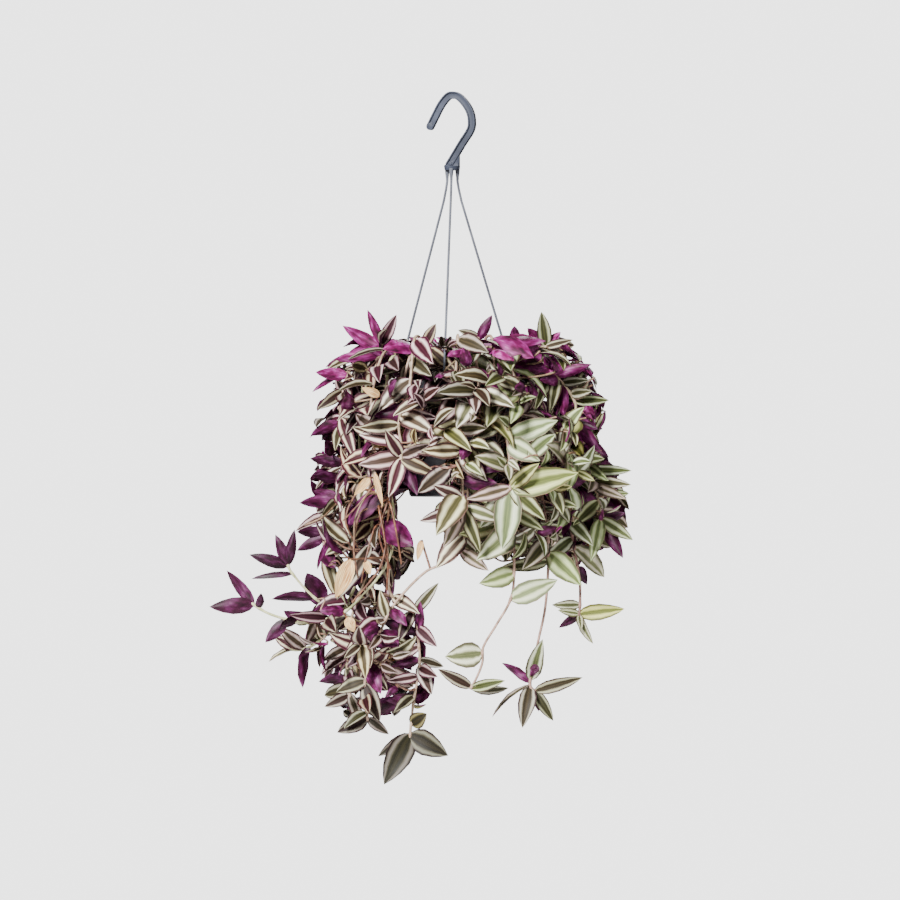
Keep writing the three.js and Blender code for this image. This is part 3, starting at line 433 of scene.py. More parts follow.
def dice(seed):
    """Repeatable random numbers between two limits, one row of them for each seed."""
    state = [(seed * 7919 + 12347) % 2147483647]

    def roll(low, high):
        state[0] = (state[0] * 48271) % 2147483647
        return low + ((high - low) * state[0]) / 2147483647

    roll(0, 1)
    roll(0, 1)
    return roll


def joined(pieces, name):
    """Several meshes as one, named after what they make."""
    select(*pieces)
    bpy.ops.object.join()
    return finish_mesh(bpy.context.object, name)


def copied(piece):
    """A copy with its own mesh."""
    copy = piece.copy()
    copy.data = piece.data.copy()
    bpy.context.collection.objects.link(copy)
    return copy


soil.data.materials.append(peat)
soil.data.materials.append(perlite)
roll = dice(PEBBLE_SEED)
bits = [soil]
for i in range(PEBBLES):
    radius = SOIL_RADIUS * math.sqrt(roll(0.0, PEBBLE_SPREAD))
    bit = copied(pebble)
    bit.data.materials.append(peat if i % 4 else perlite)
    size = roll(*(CRUMB_SIZES if i % 4 else PERLITE_SIZES))
    spin = Matrix.Rotation(roll(0, FULL_TURN), 4, (roll(-1, 1), roll(-1, 1), 0.3))
    stretch = Matrix.Diagonal((size * roll(*STRETCHES), size, size * roll(*FLATTENINGS), 1))
    seat = round_place(radius, roll(0, 360), soil_z(radius) + roll(*PEBBLE_HEIGHTS)) * MM
    bit.data.transform(Matrix.Translation(seat) @ spin @ stretch)
    bits.append(bit)
joined(bits, "potting_soil")
bpy.data.objects.remove(pebble)
hand_over(soil, "soil", "soil")

# %% [markdown]
# ## The hanger
# Hook, base and strands are one moulding of grey polypropylene. The hook is a bar of I section, a
# moulder's way to keep a thick hook from sinking as it cools. A twelve-sided circle is pulled into an I,
# and its face is extruded and turned from place to place along the hook's line.

# %% Sweep the hook's section along its line
HOOK_LINE = [
    (-25.2, -30), (-18.9, -18), (-12.1, -6), (-4.6, 2.5), (1, 4.05), (8, 2.2), (15.8, -5.5),
    (21.2, -14.5), (23.3, -24), (22, -34.5), (12.3, -49), (3.1, -63.3), (-3.5, -73.5),
]
BAR_HALF_WIDTH = 4.0
BAR_HALF_DEPTH = 3.0
RECESS = 1.8
RIB = 1.4
HANGER_TURN = -20


def smooth_line(points, per_span):
    """Points on a smooth line that passes through the given ones."""
    points = [np.array(p, float) for p in points]
    ends = [2 * points[0] - points[1], *points, 2 * points[-1] - points[-2]]
    line = []
    for before, start, end, after in zip(ends, ends[1:], ends[2:], ends[3:]):
        for k in range(per_span):
            t = k / per_span
            slope_in, slope_out = (end - before) / 2, (after - start) / 2
            line.append(
                (2 * t**3 - 3 * t**2 + 1) * start + (t**3 - 2 * t**2 + t) * slope_in
                + (3 * t**2 - 2 * t**3) * end + (t**3 - t**2) * slope_out
            )
    return [*line, points[-1]]


def bar_corners():
    """The twelve corners of the I section as (across, deep), counted round it."""
    w, d = BAR_HALF_WIDTH, BAR_HALF_DEPTH
    web, rib = d - RECESS, w - RIB
    half = [(w, -d), (w, d), (rib, d), (rib, web), (-rib, web), (-rib, d)]
    return half + [(-x, -y) for x, y in half]


def sweep_hook(line):
    """Extrudes the I section along a line of (right, up) points."""
    select()
    bpy.ops.mesh.primitive_circle_add(vertices=12, radius=3 * MM, fill_type="NGON")
    bar = bpy.context.object
    slope = np.arctan2(*(line[1] - line[0])[::-1])
    across = Vector((-math.sin(slope), 0, math.cos(slope)))
    start = Vector((line[0][0], 0, line[0][1]))
    for vertex, (x, y) in zip(bar.data.vertices, bar_corners()):
        vertex.co = (start + across * x + Vector((0, y, 0))) * MM
    bpy.ops.object.mode_set(mode="EDIT")
    bpy.ops.mesh.select_all(action="SELECT")
    for i in range(1, len(line)):
        step = line[i] - line[i - 1]
        move = (step[0] * MM, 0, step[1] * MM)
        bpy.ops.mesh.extrude_region_move(TRANSFORM_OT_translate={"value": move})
        ahead = line[min(i + 1, len(line) - 1)] - line[i - 1]
        turn = math.remainder(np.arctan2(ahead[1], ahead[0]) - slope, 2 * math.pi)
        slope += turn
        here = (line[i][0] * MM, 0, line[i][1] * MM)
        bpy.ops.transform.rotate(value=turn, orient_axis="Y", center_override=here)
    face_outwards()
    return bar


hook_line = smooth_line(HOOK_LINE, 4)
hook = sweep_hook(hook_line)
print("the hook's line has", len(hook_line), "places")

# %% [markdown]
# A rounded tip, a web under the shank, a small cross pin and the round base are added to the bar. They
# are fused with it by booleans, and one bevel then gives all the edges the soft radius of a moulding.

# %% Tip, web, pin and base
BASE_Z = -76.3
BASE_HEIGHT = 4.5
BASE_TOP_RADIUS = 9.0
BASE_LOW_RADIUS = 8.0
WEB_OUTLINE = [(-8.5, -73), (-8.5, -77), (8.8, -77), (8.8, -61)]
WEB_THICKNESS = 3.6
PIN = dict(radius=2.0, depth=8.0, right=-1, up=-71.5, sides=20)


def fuse(piece, other):
    """Joins another solid into a piece."""
    apply_modifier(piece, "BOOLEAN", operation="UNION", solver="EXACT", object=other)
    bpy.data.objects.remove(other)


def cross_pin(radius, depth, right, up, sides):
    """A round pin from front to back."""
    select()
    bpy.ops.mesh.primitive_cylinder_add(
        vertices=sides, radius=radius * MM, depth=depth * MM, rotation=(math.pi / 2, 0, 0),
        location=(right * MM, 0, up * MM),
    )
    return bpy.context.object


def web_plate(outline, thickness):
    """A flat plate with corners at (right, up)."""
    select()
    bpy.ops.mesh.primitive_plane_add(size=MM)
    plate = bpy.context.object
    for corner, (right, up) in zip((3, 2, 0, 1), outline):
        plate.data.vertices[corner].co = Vector((right, thickness / 2, up)) * MM
    bpy.ops.object.mode_set(mode="EDIT")
    bpy.ops.mesh.select_all(action="SELECT")
    bpy.ops.mesh.extrude_region_move(TRANSFORM_OT_translate={"value": (0, -thickness * MM, 0)})
    face_outwards()
    return plate


base_rings = [(BASE_LOW_RADIUS, BASE_Z - BASE_HEIGHT / 2), (BASE_TOP_RADIUS, BASE_Z + BASE_HEIGHT / 2)]
fuse(hook, cross_pin(BAR_HALF_WIDTH, 2 * BAR_HALF_DEPTH - 0.02, *HOOK_LINE[0], sides=32))
fuse(hook, web_plate(WEB_OUTLINE, WEB_THICKNESS))
fuse(hook, cross_pin(**PIN))
fuse(hook, raise_rings(base_rings, sides=40))
soft_edges(hook, sharpest=40)
hook.data.transform(Matrix.Rotation(math.radians(HANGER_TURN), 4, "Z"))
print("the hook has", len(hook.data.polygons), "faces")

# %% [markdown]
# The strands are thin rods of the same plastic. Each flares where it leaves the base, runs straight to
# the rim, and goes down through its eye to a barb that can't slip back. A curve with a radius at each of
# its points gives all three, and it is then made a mesh.

# %% Strands with flares and barbs
FLARE_CIRCLE = 6.6
STRAND_TOP = BASE_Z - BASE_HEIGHT / 2
# How far out, height, and radius.
STRAND_STATIONS = [
    (0.0, STRAND_TOP + 2, 2.6), (0.0, STRAND_TOP - 2, 2.4), (0.0, STRAND_TOP - 8, 1.6),
    (0.0, STRAND_TOP - 12, 1.4), (0.02, STRAND_TOP - 20, 1.35), (0.07, STRAND_TOP - 34, 1.35),
    (0.94, RIM_Z + 16, 1.35), (0.985, RIM_Z + 9, 1.35), (1.0, RIM_Z + 4, 1.3), (1.0, RIM_Z - 2.2, 1.25),
    (1.0, RIM_Z - 2.35, 2.6), (1.0, RIM_Z - 3.4, 2.7), (1.0, RIM_Z - 8.3, 1.1),
]


def rod(name, places, radii, roundness):
    """A round rod through places in millimetres, with its own radius at each."""
    curve = bpy.data.curves.new(name, "CURVE")
    curve.dimensions = "3D"
    curve.bevel_depth = MM
    curve.bevel_resolution = roundness
    curve.use_fill_caps = True
    spline = curve.splines.new("POLY")
    spline.points.add(len(places) - 1)
    for point, place, radius in zip(spline.points, places, radii):
        point.co = (*(np.array(place) * MM), 1)
        point.radius = radius
    piece = bpy.data.objects.new(name, curve)
    bpy.context.collection.objects.link(piece)
    select(piece)
    bpy.ops.object.convert(target="MESH")
    return bpy.context.object


def strand(direction):
    """One strand from the base to its barb under the rim."""
    reach = EYE_CIRCLE - FLARE_CIRCLE
    places = [round_place(FLARE_CIRCLE + share * reach, direction, z) for share, z, _ in STRAND_STATIONS]
    return rod("strand", places, [radius for _, _, radius in STRAND_STATIONS], roundness=3)


strands = [strand(direction) for direction in STRAND_DIRECTIONS]
print(len(strands), "strands, from the base to the rim")

# %% [markdown]
# The grey plastic has a blue cast and a satin face. Handling polishes it in patches, so its roughness
# wanders, and there is a faint grain left by the mould, drawn at 0.7 mm so that it shows. The thin rods
# let light through and look paler than the thick hook, so they get a paler mix of the same finish.

# %% Blue-grey polypropylene
HOOK_TONES = [(0.3, "262a34"), (0.55, "303440"), (0.75, "3f4452")]
STRAND_TONES = [(0.3, "45474e"), (0.55, "54575f"), (0.75, "666971")]


def moulded_plastic(name, tones):
    """Satin polypropylene in a few close tones, with patches of 22 mm."""
    plastic, tree, shader, coordinates = new_material(name)
    patches = add(tree, "TexNoise", {"Vector": coordinates, "Scale": 45.0, "Detail": 4.0})
    tint = add(tree, "ValToRGB", {0: patches}, stops=tones)
    satin = add(tree, "MapRange", {"Value": patches, "To Min": 0.44, "To Max": 0.6})
    grain = add(tree, "TexNoise", {"Vector": coordinates, "Scale": 1400.0, "Detail": 2.0})
    bump = add(tree, "Bump", {"Height": grain, "Strength": 0.1, "Distance": 0.2 * MM})
    plug(shader, {"Base Color": tint, "Roughness": satin, "Specular IOR Level": 0.15, "Normal": bump})
    return plastic


hook.data.materials.append(moulded_plastic("blue_grey_polypropylene_moulded", HOOK_TONES))
thin_plastic = moulded_plastic("blue_grey_polypropylene_thin_rod", STRAND_TONES)
for piece in strands:
    piece.data.materials.append(thin_plastic)
hanger = joined([hook, *strands], "moulded_hanger")
smooth_by_angle(hanger, degrees=40)
hand_over(hanger, "hanger", "hanger")

# %% [markdown]
# ## One leaf
# An inch plant's leaf is a pointed oval, folded a little along its midrib, and it has no stalk. One leaf
# is modelled flat and one unit long: a grid whose rows are scaled to the oval, whose last row is pulled
# together into the tip, and whose copy, turned over and pushed down in the middle, makes the underside.
# Hundreds of copies follow, so it has only 48 faces.

# %% Model the leaf
ROW_SHARES = (0.0, 0.1, 0.27, 0.48, 0.7, 0.87, 1.0)
COLUMNS = 4
CLASP_WIDTH = 0.2
BLADE_DEPTH = 0.02


def width_share(t):
    """How wide a leaf is at a share of its length, as a share of its full width."""
    return t**0.55 * (1 - t) ** 0.9 / 0.382


def pick(piece, test):
    """Selects, in edit mode, the vertices that pass a test of their place."""
    bpy.ops.object.mode_set(mode="EDIT")
    bpy.ops.mesh.select_mode(type="VERT")
    bpy.ops.mesh.select_all(action="DESELECT")
    bpy.ops.object.mode_set(mode="OBJECT")
    for vertex in piece.data.vertices:
        vertex.select = test(vertex.co)
    bpy.ops.object.mode_set(mode="EDIT")


def on_outline(co):
    """Whether a place is on the leaf's outline."""
    return co.y < 0.001 or co.y > 0.999 or abs(co.x) > 0.49 * width_share(co.y)


select()
rows = len(ROW_SHARES) - 1
bpy.ops.mesh.primitive_grid_add(x_subdivisions=COLUMNS, y_subdivisions=rows, size=1)
leaf = bpy.context.object
leaf.data.transform(Matrix.Translation((0, 0.5, 0)))
for row in reversed(range(rows + 1)):
    share = ROW_SHARES[row]
    pick(leaf, lambda co: abs(co.y - row / rows) < 0.01)
    bpy.ops.transform.translate(value=(0, share - row / rows, 0))
    width = CLASP_WIDTH if row == 0 else max(width_share(share), 0.002)
    bpy.ops.transform.resize(value=(width, 1, 1), center_override=(0, share, 0))
pick(leaf, lambda co: co.y > 0.999)
bpy.ops.mesh.merge(type="CENTER")
print("the upper face has", rows, "rows of", COLUMNS, "faces")

# %% [markdown]
# A leaf shows two quite different sides, so it needs an underside of its own with a second material
# slot. The copy of the face meets it at the outline and lies a little lower everywhere else.

# %% Give it an underside
for side in ("upper", "under"):
    leaf.data.materials.append(bpy.data.materials.new(side + "_placeholder"))
bpy.ops.mesh.select_all(action="SELECT")
bpy.ops.mesh.duplicate()
bpy.ops.mesh.flip_normals()
leaf.active_material_index = 1
bpy.ops.object.material_slot_assign()
bpy.ops.transform.translate(value=(0, 0, -BLADE_DEPTH))
pick(leaf, lambda co: co.z < -BLADE_DEPTH / 2 and on_outline(co))
bpy.ops.transform.translate(value=(0, 0, BLADE_DEPTH))
bpy.ops.mesh.select_all(action="SELECT")
bpy.ops.mesh.remove_doubles(threshold=1e-4)
bpy.ops.object.mode_set(mode="OBJECT")
smooth_by_angle(leaf, degrees=60)
leaf.data.attributes.new("tone", "FLOAT_COLOR", "POINT")
print("the leaf has", len(leaf.data.polygons), "faces and", len(leaf.data.vertices), "vertices")

# %% [markdown]
# A flat leaf looks cut from paper. Each copy is bent over its length, folded along the midrib, twisted,
# and rippled at its margin, all by small amounts that differ from leaf to leaf.

# %% Bend a copy of the leaf to its place
LEAF_PLACES = np.array([vertex.co for vertex in leaf.data.vertices])
BLADE_THICKNESS = 0.8
MARGIN_WAVES = 2.2
# The share of its length at which a leaf isn't twisted, and the share of its width at which a fold leaves it.
TWIST_CENTRE = 0.3
FOLD_LEVEL = 0.18


def unit(vector):
    """A vector with length one."""
    return vector / np.linalg.norm(vector)


def rotated(vector, axis, degrees):
    """A vector turned round an axis of length one."""
    angle = math.radians(degrees)
    turned = vector * math.cos(angle) + np.cross(axis, vector) * math.sin(angle)
    return turned + axis * axis.dot(vector) * (1 - math.cos(angle))


def bent_places(blade, fold, twist=0.0, ripple=0.0, phase=0.0):
    """The leaf's vertices at a blade's place, in millimetres."""
    line = blade["tip"] - blade["base"]
    length, width, upper = np.linalg.norm(line), blade["width"], blade["upper"]
    side = unit(np.cross(line, upper))
    x, t = LEAF_PLACES[:, :1] * width, LEAF_PLACES[:, 1:2]
    angle = twist * (t - TWIST_CENTRE)
    across = side * np.cos(angle) + upper * np.sin(angle)
    normal = upper * np.cos(angle) - side * np.sin(angle)
    waves = np.sin(FULL_TURN * (MARGIN_WAVES * t + phase)) * (np.abs(x) / (width / 2)) ** 2
    lift = (fold * (np.abs(x) - FOLD_LEVEL * width) + ripple * waves) * np.minimum(1, 4 * t)
    lift = lift + LEAF_PLACES[:, 2:] / BLADE_DEPTH * BLADE_THICKNESS
    middle = blade["base"] + line * t + upper * (blade["arch"] * length * 4 * t * (1 - t))
    return middle + across * x + normal * lift


print("a bent leaf has", len(LEAF_PLACES), "places to move")

# %% [markdown]
# ## The leaf's colours
# The upper side has two silver bands, where air under the skin scatters the light, between a dark midrib
# stripe and dark margins. In strong light the dark parts are green, and in the cold or in shade they
# are purple. Each list of colours runs from the midrib to the margin.

# %% Colours of the stripes
PURPLE_STRIPES = [
    (0.0, "431827"), (0.2, "2b0c16"), (0.31, "4a2630"), (0.42, "a9938f"), (0.55, "e8dcd4"),
    (0.7, "cfbcb7"), (0.78, "85606a"), (0.86, "370f22"), (0.96, "300b1b"), (1.0, "753a53"),
]
GREEN_STRIPES = [
    (0.0, "5c6632"), (0.16, "3a431f"), (0.3, "5b653c"), (0.41, "aab48a"), (0.55, "d8dfc2"),
    (0.72, "c3cca9"), (0.8, "7f8867"), (0.87, "2d2c1c"), (0.96, "2c1b17"), (1.0, "8f6a62"),
]
# On large green leaves the stripes fade into this.
SAGE = "8c9a72"
# Young leaves are flushed with pink, old ones turn olive and then straw yellow.
LEAF_TINTS = [
    (0.0, "e8cdd9"), (0.18, "f3e4ea"), (0.35, "ffffff"), (0.6, "eef2da"), (0.85, "dbe0c4"), (0.97, "f2ecc2"),
    (1.0, "e3d58c"),
]
FIBRE_TONES = [(0.3, "b4b4b4"), (0.5, "ececec"), (0.66, "ffffff")]
print(len(PURPLE_STRIPES), "colours from the midrib to the margin")

# %% [markdown]
# The stripes run with the leaf, so they are drawn on its own UV map: across it for the stripes, along it
# for the veins. The attribute "tone" says how green and how pale each leaf is, the paleness with painted
# light and shade by place, and its third number makes each leaf's pattern its own. Four skins share
# these parts.

# %% What a skin reads from its leaf
# How far apart the patterns of two leaves lie in the noise.
PATTERN_STEP = 37.0


def own_tones(tree):
    """What the attribute says: how green, how pale or how old, with painted light and shade in both, and which
    pattern.
    """
    return add(tree, "SeparateColor", {0: add(tree, "VertexColor", {}, layer_name="tone")}).outputs


def leaf_inputs(tree):
    """The place across the leaf and along it, and the leaf's own tones."""
    place = add(tree, "SeparateXYZ", {0: add(tree, "UVMap", {}, uv_map="UVMap")})
    return place.outputs["X"], place.outputs["Y"], own_tones(tree)


def leaf_noise(tree, across, along, pattern, scales, detail):
    """A noise stretched along the leaf, another one for each leaf."""
    wide = add(tree, "Math", {0: across, 1: scales[0]}, operation="MULTIPLY")
    long = add(tree, "Math", {0: along, 1: scales[1]}, operation="MULTIPLY")
    layer = add(tree, "Math", {0: pattern, 1: PATTERN_STEP}, operation="MULTIPLY")
    vector = add(tree, "CombineXYZ", {0: wide, 1: long, 2: layer})
    return add(tree, "TexNoise", {"Vector": vector, "Scale": 1.0, "Detail": detail})


def shaded(tree, skin, share, noise, tones):
    """A skin darkened in part by the tones of a noise."""
    shade = add(tree, "ValToRGB", {0: noise}, stops=tones)
    return add(tree, "Mix", {0: share, 6: skin, 7: shade}, data_type="RGBA", blend_type="MULTIPLY")


def brightened(tree, skin, pale_and_lit, dimmest):
    """A skin made darker or brighter by its leaf's paleness, which carries painted light and shade by place."""
    value = add(tree, "MapRange", {"Value": pale_and_lit, "To Min": dimmest, "To Max": 1.2})
    return add(tree, "HueSaturation", {"Color": skin, "Value": value})


print("a pattern has", round(PATTERN_STEP), "places to start from")

# %% [markdown]
# The stripe's place is the distance from the midrib. A power of it makes the silver wide on pale leaves
# and narrow on dark ones, and a slow noise lets the stripes wander, most in the middle of each half. The
# fibres are 0.5 mm wide and 20 mm long on a leaf of 24 by 50 mm.

# %% Striped upper side
# Waves across and along the leaf.
FIBRES = (46.0, 2.5)
WANDERING = (5.0, 5.0)
STRIPE_POWER = (1.7, 0.6)
STRIPE_SHIFT = 0.22
SAGE_MOST = 0.42
TINT_STEP = 7.13

upper_skin, tree, shader, _ = new_material("inch_plant_leaf_upper")
across, along, (green, pale_and_lit, pattern) = leaf_inputs(tree)
wander = leaf_noise(tree, across, along, pattern, WANDERING, 2.0)
from_midrib = add(tree, "Math", {0: across, 1: 0.5}, operation="SUBTRACT")
distance = add(tree, "Math", {0: from_midrib}, operation="ABSOLUTE")
distance = add(tree, "Math", {0: distance, 1: 2.0}, operation="MULTIPLY")
paleness = add(tree, "Math", {0: pattern, 1: 0.4}, operation="MULTIPLY")
paleness = add(tree, "Math", {0: pale_and_lit, 1: 0.6, 2: paleness}, operation="MULTIPLY_ADD")
power = add(tree, "MapRange", {"Value": paleness, "To Min": STRIPE_POWER[0], "To Max": STRIPE_POWER[1]})
distance = add(tree, "Math", {0: distance, 1: power}, operation="POWER")
shift = add(tree, "Math", {0: wander, 1: STRIPE_SHIFT, 2: -STRIPE_SHIFT / 2}, operation="MULTIPLY_ADD")
to_margin = add(tree, "Math", {0: 1.0, 1: distance}, operation="SUBTRACT")
room = add(tree, "Math", {0: distance, 1: to_margin, 2: 0.35}, operation="MULTIPLY_ADD")
stripe_place = add(tree, "Math", {0: shift, 1: room, 2: distance}, operation="MULTIPLY_ADD")
purple_skin = add(tree, "ValToRGB", {0: stripe_place}, stops=PURPLE_STRIPES)
green_skin = add(tree, "ValToRGB", {0: stripe_place}, stops=GREEN_STRIPES)
skin = add(tree, "Mix", {0: green, 6: purple_skin, 7: green_skin}, data_type="RGBA")
soft = add(tree, "MapRange", {"Value": paleness, "From Min": 0.5, "To Max": SAGE_MOST})
soft = add(tree, "Math", {0: soft, 1: green}, operation="MULTIPLY")
skin = add(tree, "Mix", {0: soft, 6: skin, 7: SAGE}, data_type="RGBA")
own = add(tree, "Math", {0: pattern, 1: TINT_STEP}, operation="MULTIPLY")
skin = shaded(tree, skin, 1.0, add(tree, "Math", {0: own}, operation="FRACT"), LEAF_TINTS)
fibres = leaf_noise(tree, across, along, pattern, FIBRES, 3.0)
# The leaf's paleness, painted light and shade included, sets how bright its skin is.
skin = brightened(tree, shaded(tree, skin, 0.6, fibres, FIBRE_TONES), pale_and_lit, 0.06)
gloss = add(tree, "MapRange", {"Value": fibres, "To Min": 0.46, "To Max": 0.62})
bump = add(tree, "Bump", {"Height": fibres, "Strength": 0.35, "Distance": 0.5 * MM})
plug(shader, {"Base Color": skin, "Roughness": gloss, "Specular IOR Level": 0.15, "Normal": bump})
print(upper_skin.name, "has", len(tree.nodes), "shader nodes")

# %% [markdown]
# The underside is magenta purple in blotches, whose palest pink is a painted sheen. Its colour is
# lighter along the veins, also a painted sheen, and brighter or darker by the leaf's place, a painted
# light and shade.

# %% Purple underside
# Blotches from dark plum to pale pink; the pale pink is a painted sheen.
PURPLE_AND_SHEEN_TONES = [(0.28, "31051d"), (0.46, "641045"), (0.6, "8c2f73"), (0.76, "bf74a6")]
# Lighter along the veins: a painted sheen.
VEIN_SHEEN_TONES = [(0.3, "9c9c9c"), (0.6, "ffffff")]
# Waves across and along the leaf: veins of 0.8 by 25 mm, and blotches of 8 by 12 mm.
VEINS = (30.0, 2.0)
BLOTCHES = (3.0, 4.0)

under_skin, tree, shader, _ = new_material("inch_plant_leaf_under")
across, along, (_, pale_and_lit, pattern) = leaf_inputs(tree)
veins = leaf_noise(tree, across, along, pattern, VEINS, 3.0)
blotches = leaf_noise(tree, across, along, pattern, BLOTCHES, 2.0)
skin = add(tree, "ValToRGB", {0: blotches}, stops=PURPLE_AND_SHEEN_TONES)
skin = brightened(tree, shaded(tree, skin, 0.7, veins, VEIN_SHEEN_TONES), pale_and_lit, 0.12)
bump = add(tree, "Bump", {"Height": veins, "Strength": 0.3, "Distance": 0.5 * MM})
plug(shader, {"Base Color": skin, "Roughness": 0.48, "Specular IOR Level": 0.2, "Normal": bump})
print(under_skin.name, "has", len(tree.nodes), "shader nodes")

# %% [markdown]
# Stems are fleshy: pale green where they are young, pinkish brown where the sun reaches them, and dark
# bark brown when they are old. Side shoots inside the mound are darkened towards that bark brown as a
# painted shade. Old leaves dry to a thin tan paper with brown veins and stay on the stem.

# %% Stem skin and dry leaf
BROWN_TONES = [(0.3, "5c3c37"), (0.5, "8c665e"), (0.72, "b39083")]
YOUNG_TONES = [(0.3, "9aa06a"), (0.5, "bdc08d"), (0.72, "d6d2ac")]
# Old bark, and a painted shade on the leafy side shoots inside the mound.
OLD_BARK_AND_SHADE_TONES = [(0.3, "2e160d"), (0.5, "5a3221"), (0.7, "8a5a37")]
PAPER_TONES = [(0.3, "6b3c20"), (0.42, "a67742"), (0.55, "d0ab76"), (0.7, "e4d09e")]
# Waves across and along the leaf, and speckles of 6 mm on the stems.
CREASES = (24.0, 3.0)
SPECKLES = 160.0

stem_skin, tree, shader, coordinates = new_material("inch_plant_stem")
tones = own_tones(tree)
speckle = add(tree, "TexNoise", {"Vector": coordinates, "Scale": SPECKLES, "Detail": 5.0})
brown = add(tree, "ValToRGB", {0: speckle}, stops=BROWN_TONES)
young = add(tree, "ValToRGB", {0: speckle}, stops=YOUNG_TONES)
old = add(tree, "ValToRGB", {0: speckle}, stops=OLD_BARK_AND_SHADE_TONES)
bark = add(tree, "Mix", {0: tones[0], 6: brown, 7: young}, data_type="RGBA")
# Towards old bark by age, and on leafy side shoots as a painted shade.
bark = add(tree, "Mix", {0: tones[1], 6: bark, 7: old}, data_type="RGBA")
bump = add(tree, "Bump", {"Height": speckle, "Strength": 0.3, "Distance": MM})
plug(shader, {"Base Color": bark, "Roughness": 0.5, "Normal": bump})

dry_skin, tree, shader, _ = new_material("dry_leaf_paper")
across, along, (_, _, pattern) = leaf_inputs(tree)
creases = leaf_noise(tree, across, along, pattern, CREASES, 5.0)
paper = add(tree, "ValToRGB", {0: creases}, stops=PAPER_TONES)
bump = add(tree, "Bump", {"Height": creases, "Strength": 0.7, "Distance": 0.6 * MM})
plug(shader, {"Base Color": paper, "Roughness": 0.75, "Normal": bump})

leaf.data.materials[0] = upper_skin
leaf.data.materials[1] = under_skin
print("four skins:", upper_skin.name, under_skin.name, stem_skin.name, dry_skin.name)

# %% [markdown]
# ## The planting plan
# The plant is laid out by a plan. Its places are [right, back, down] in steps of 1.1 mm from the hook's
# seat. Every stem has a root in the soil, a height at which it passes over the rim, a route, and leaves:
# the point on the route, the tip, the width, and a roll that shows the striped face at 0 and the purple
# one at 180. Filling leaves follow by rows of count, from, to and size.

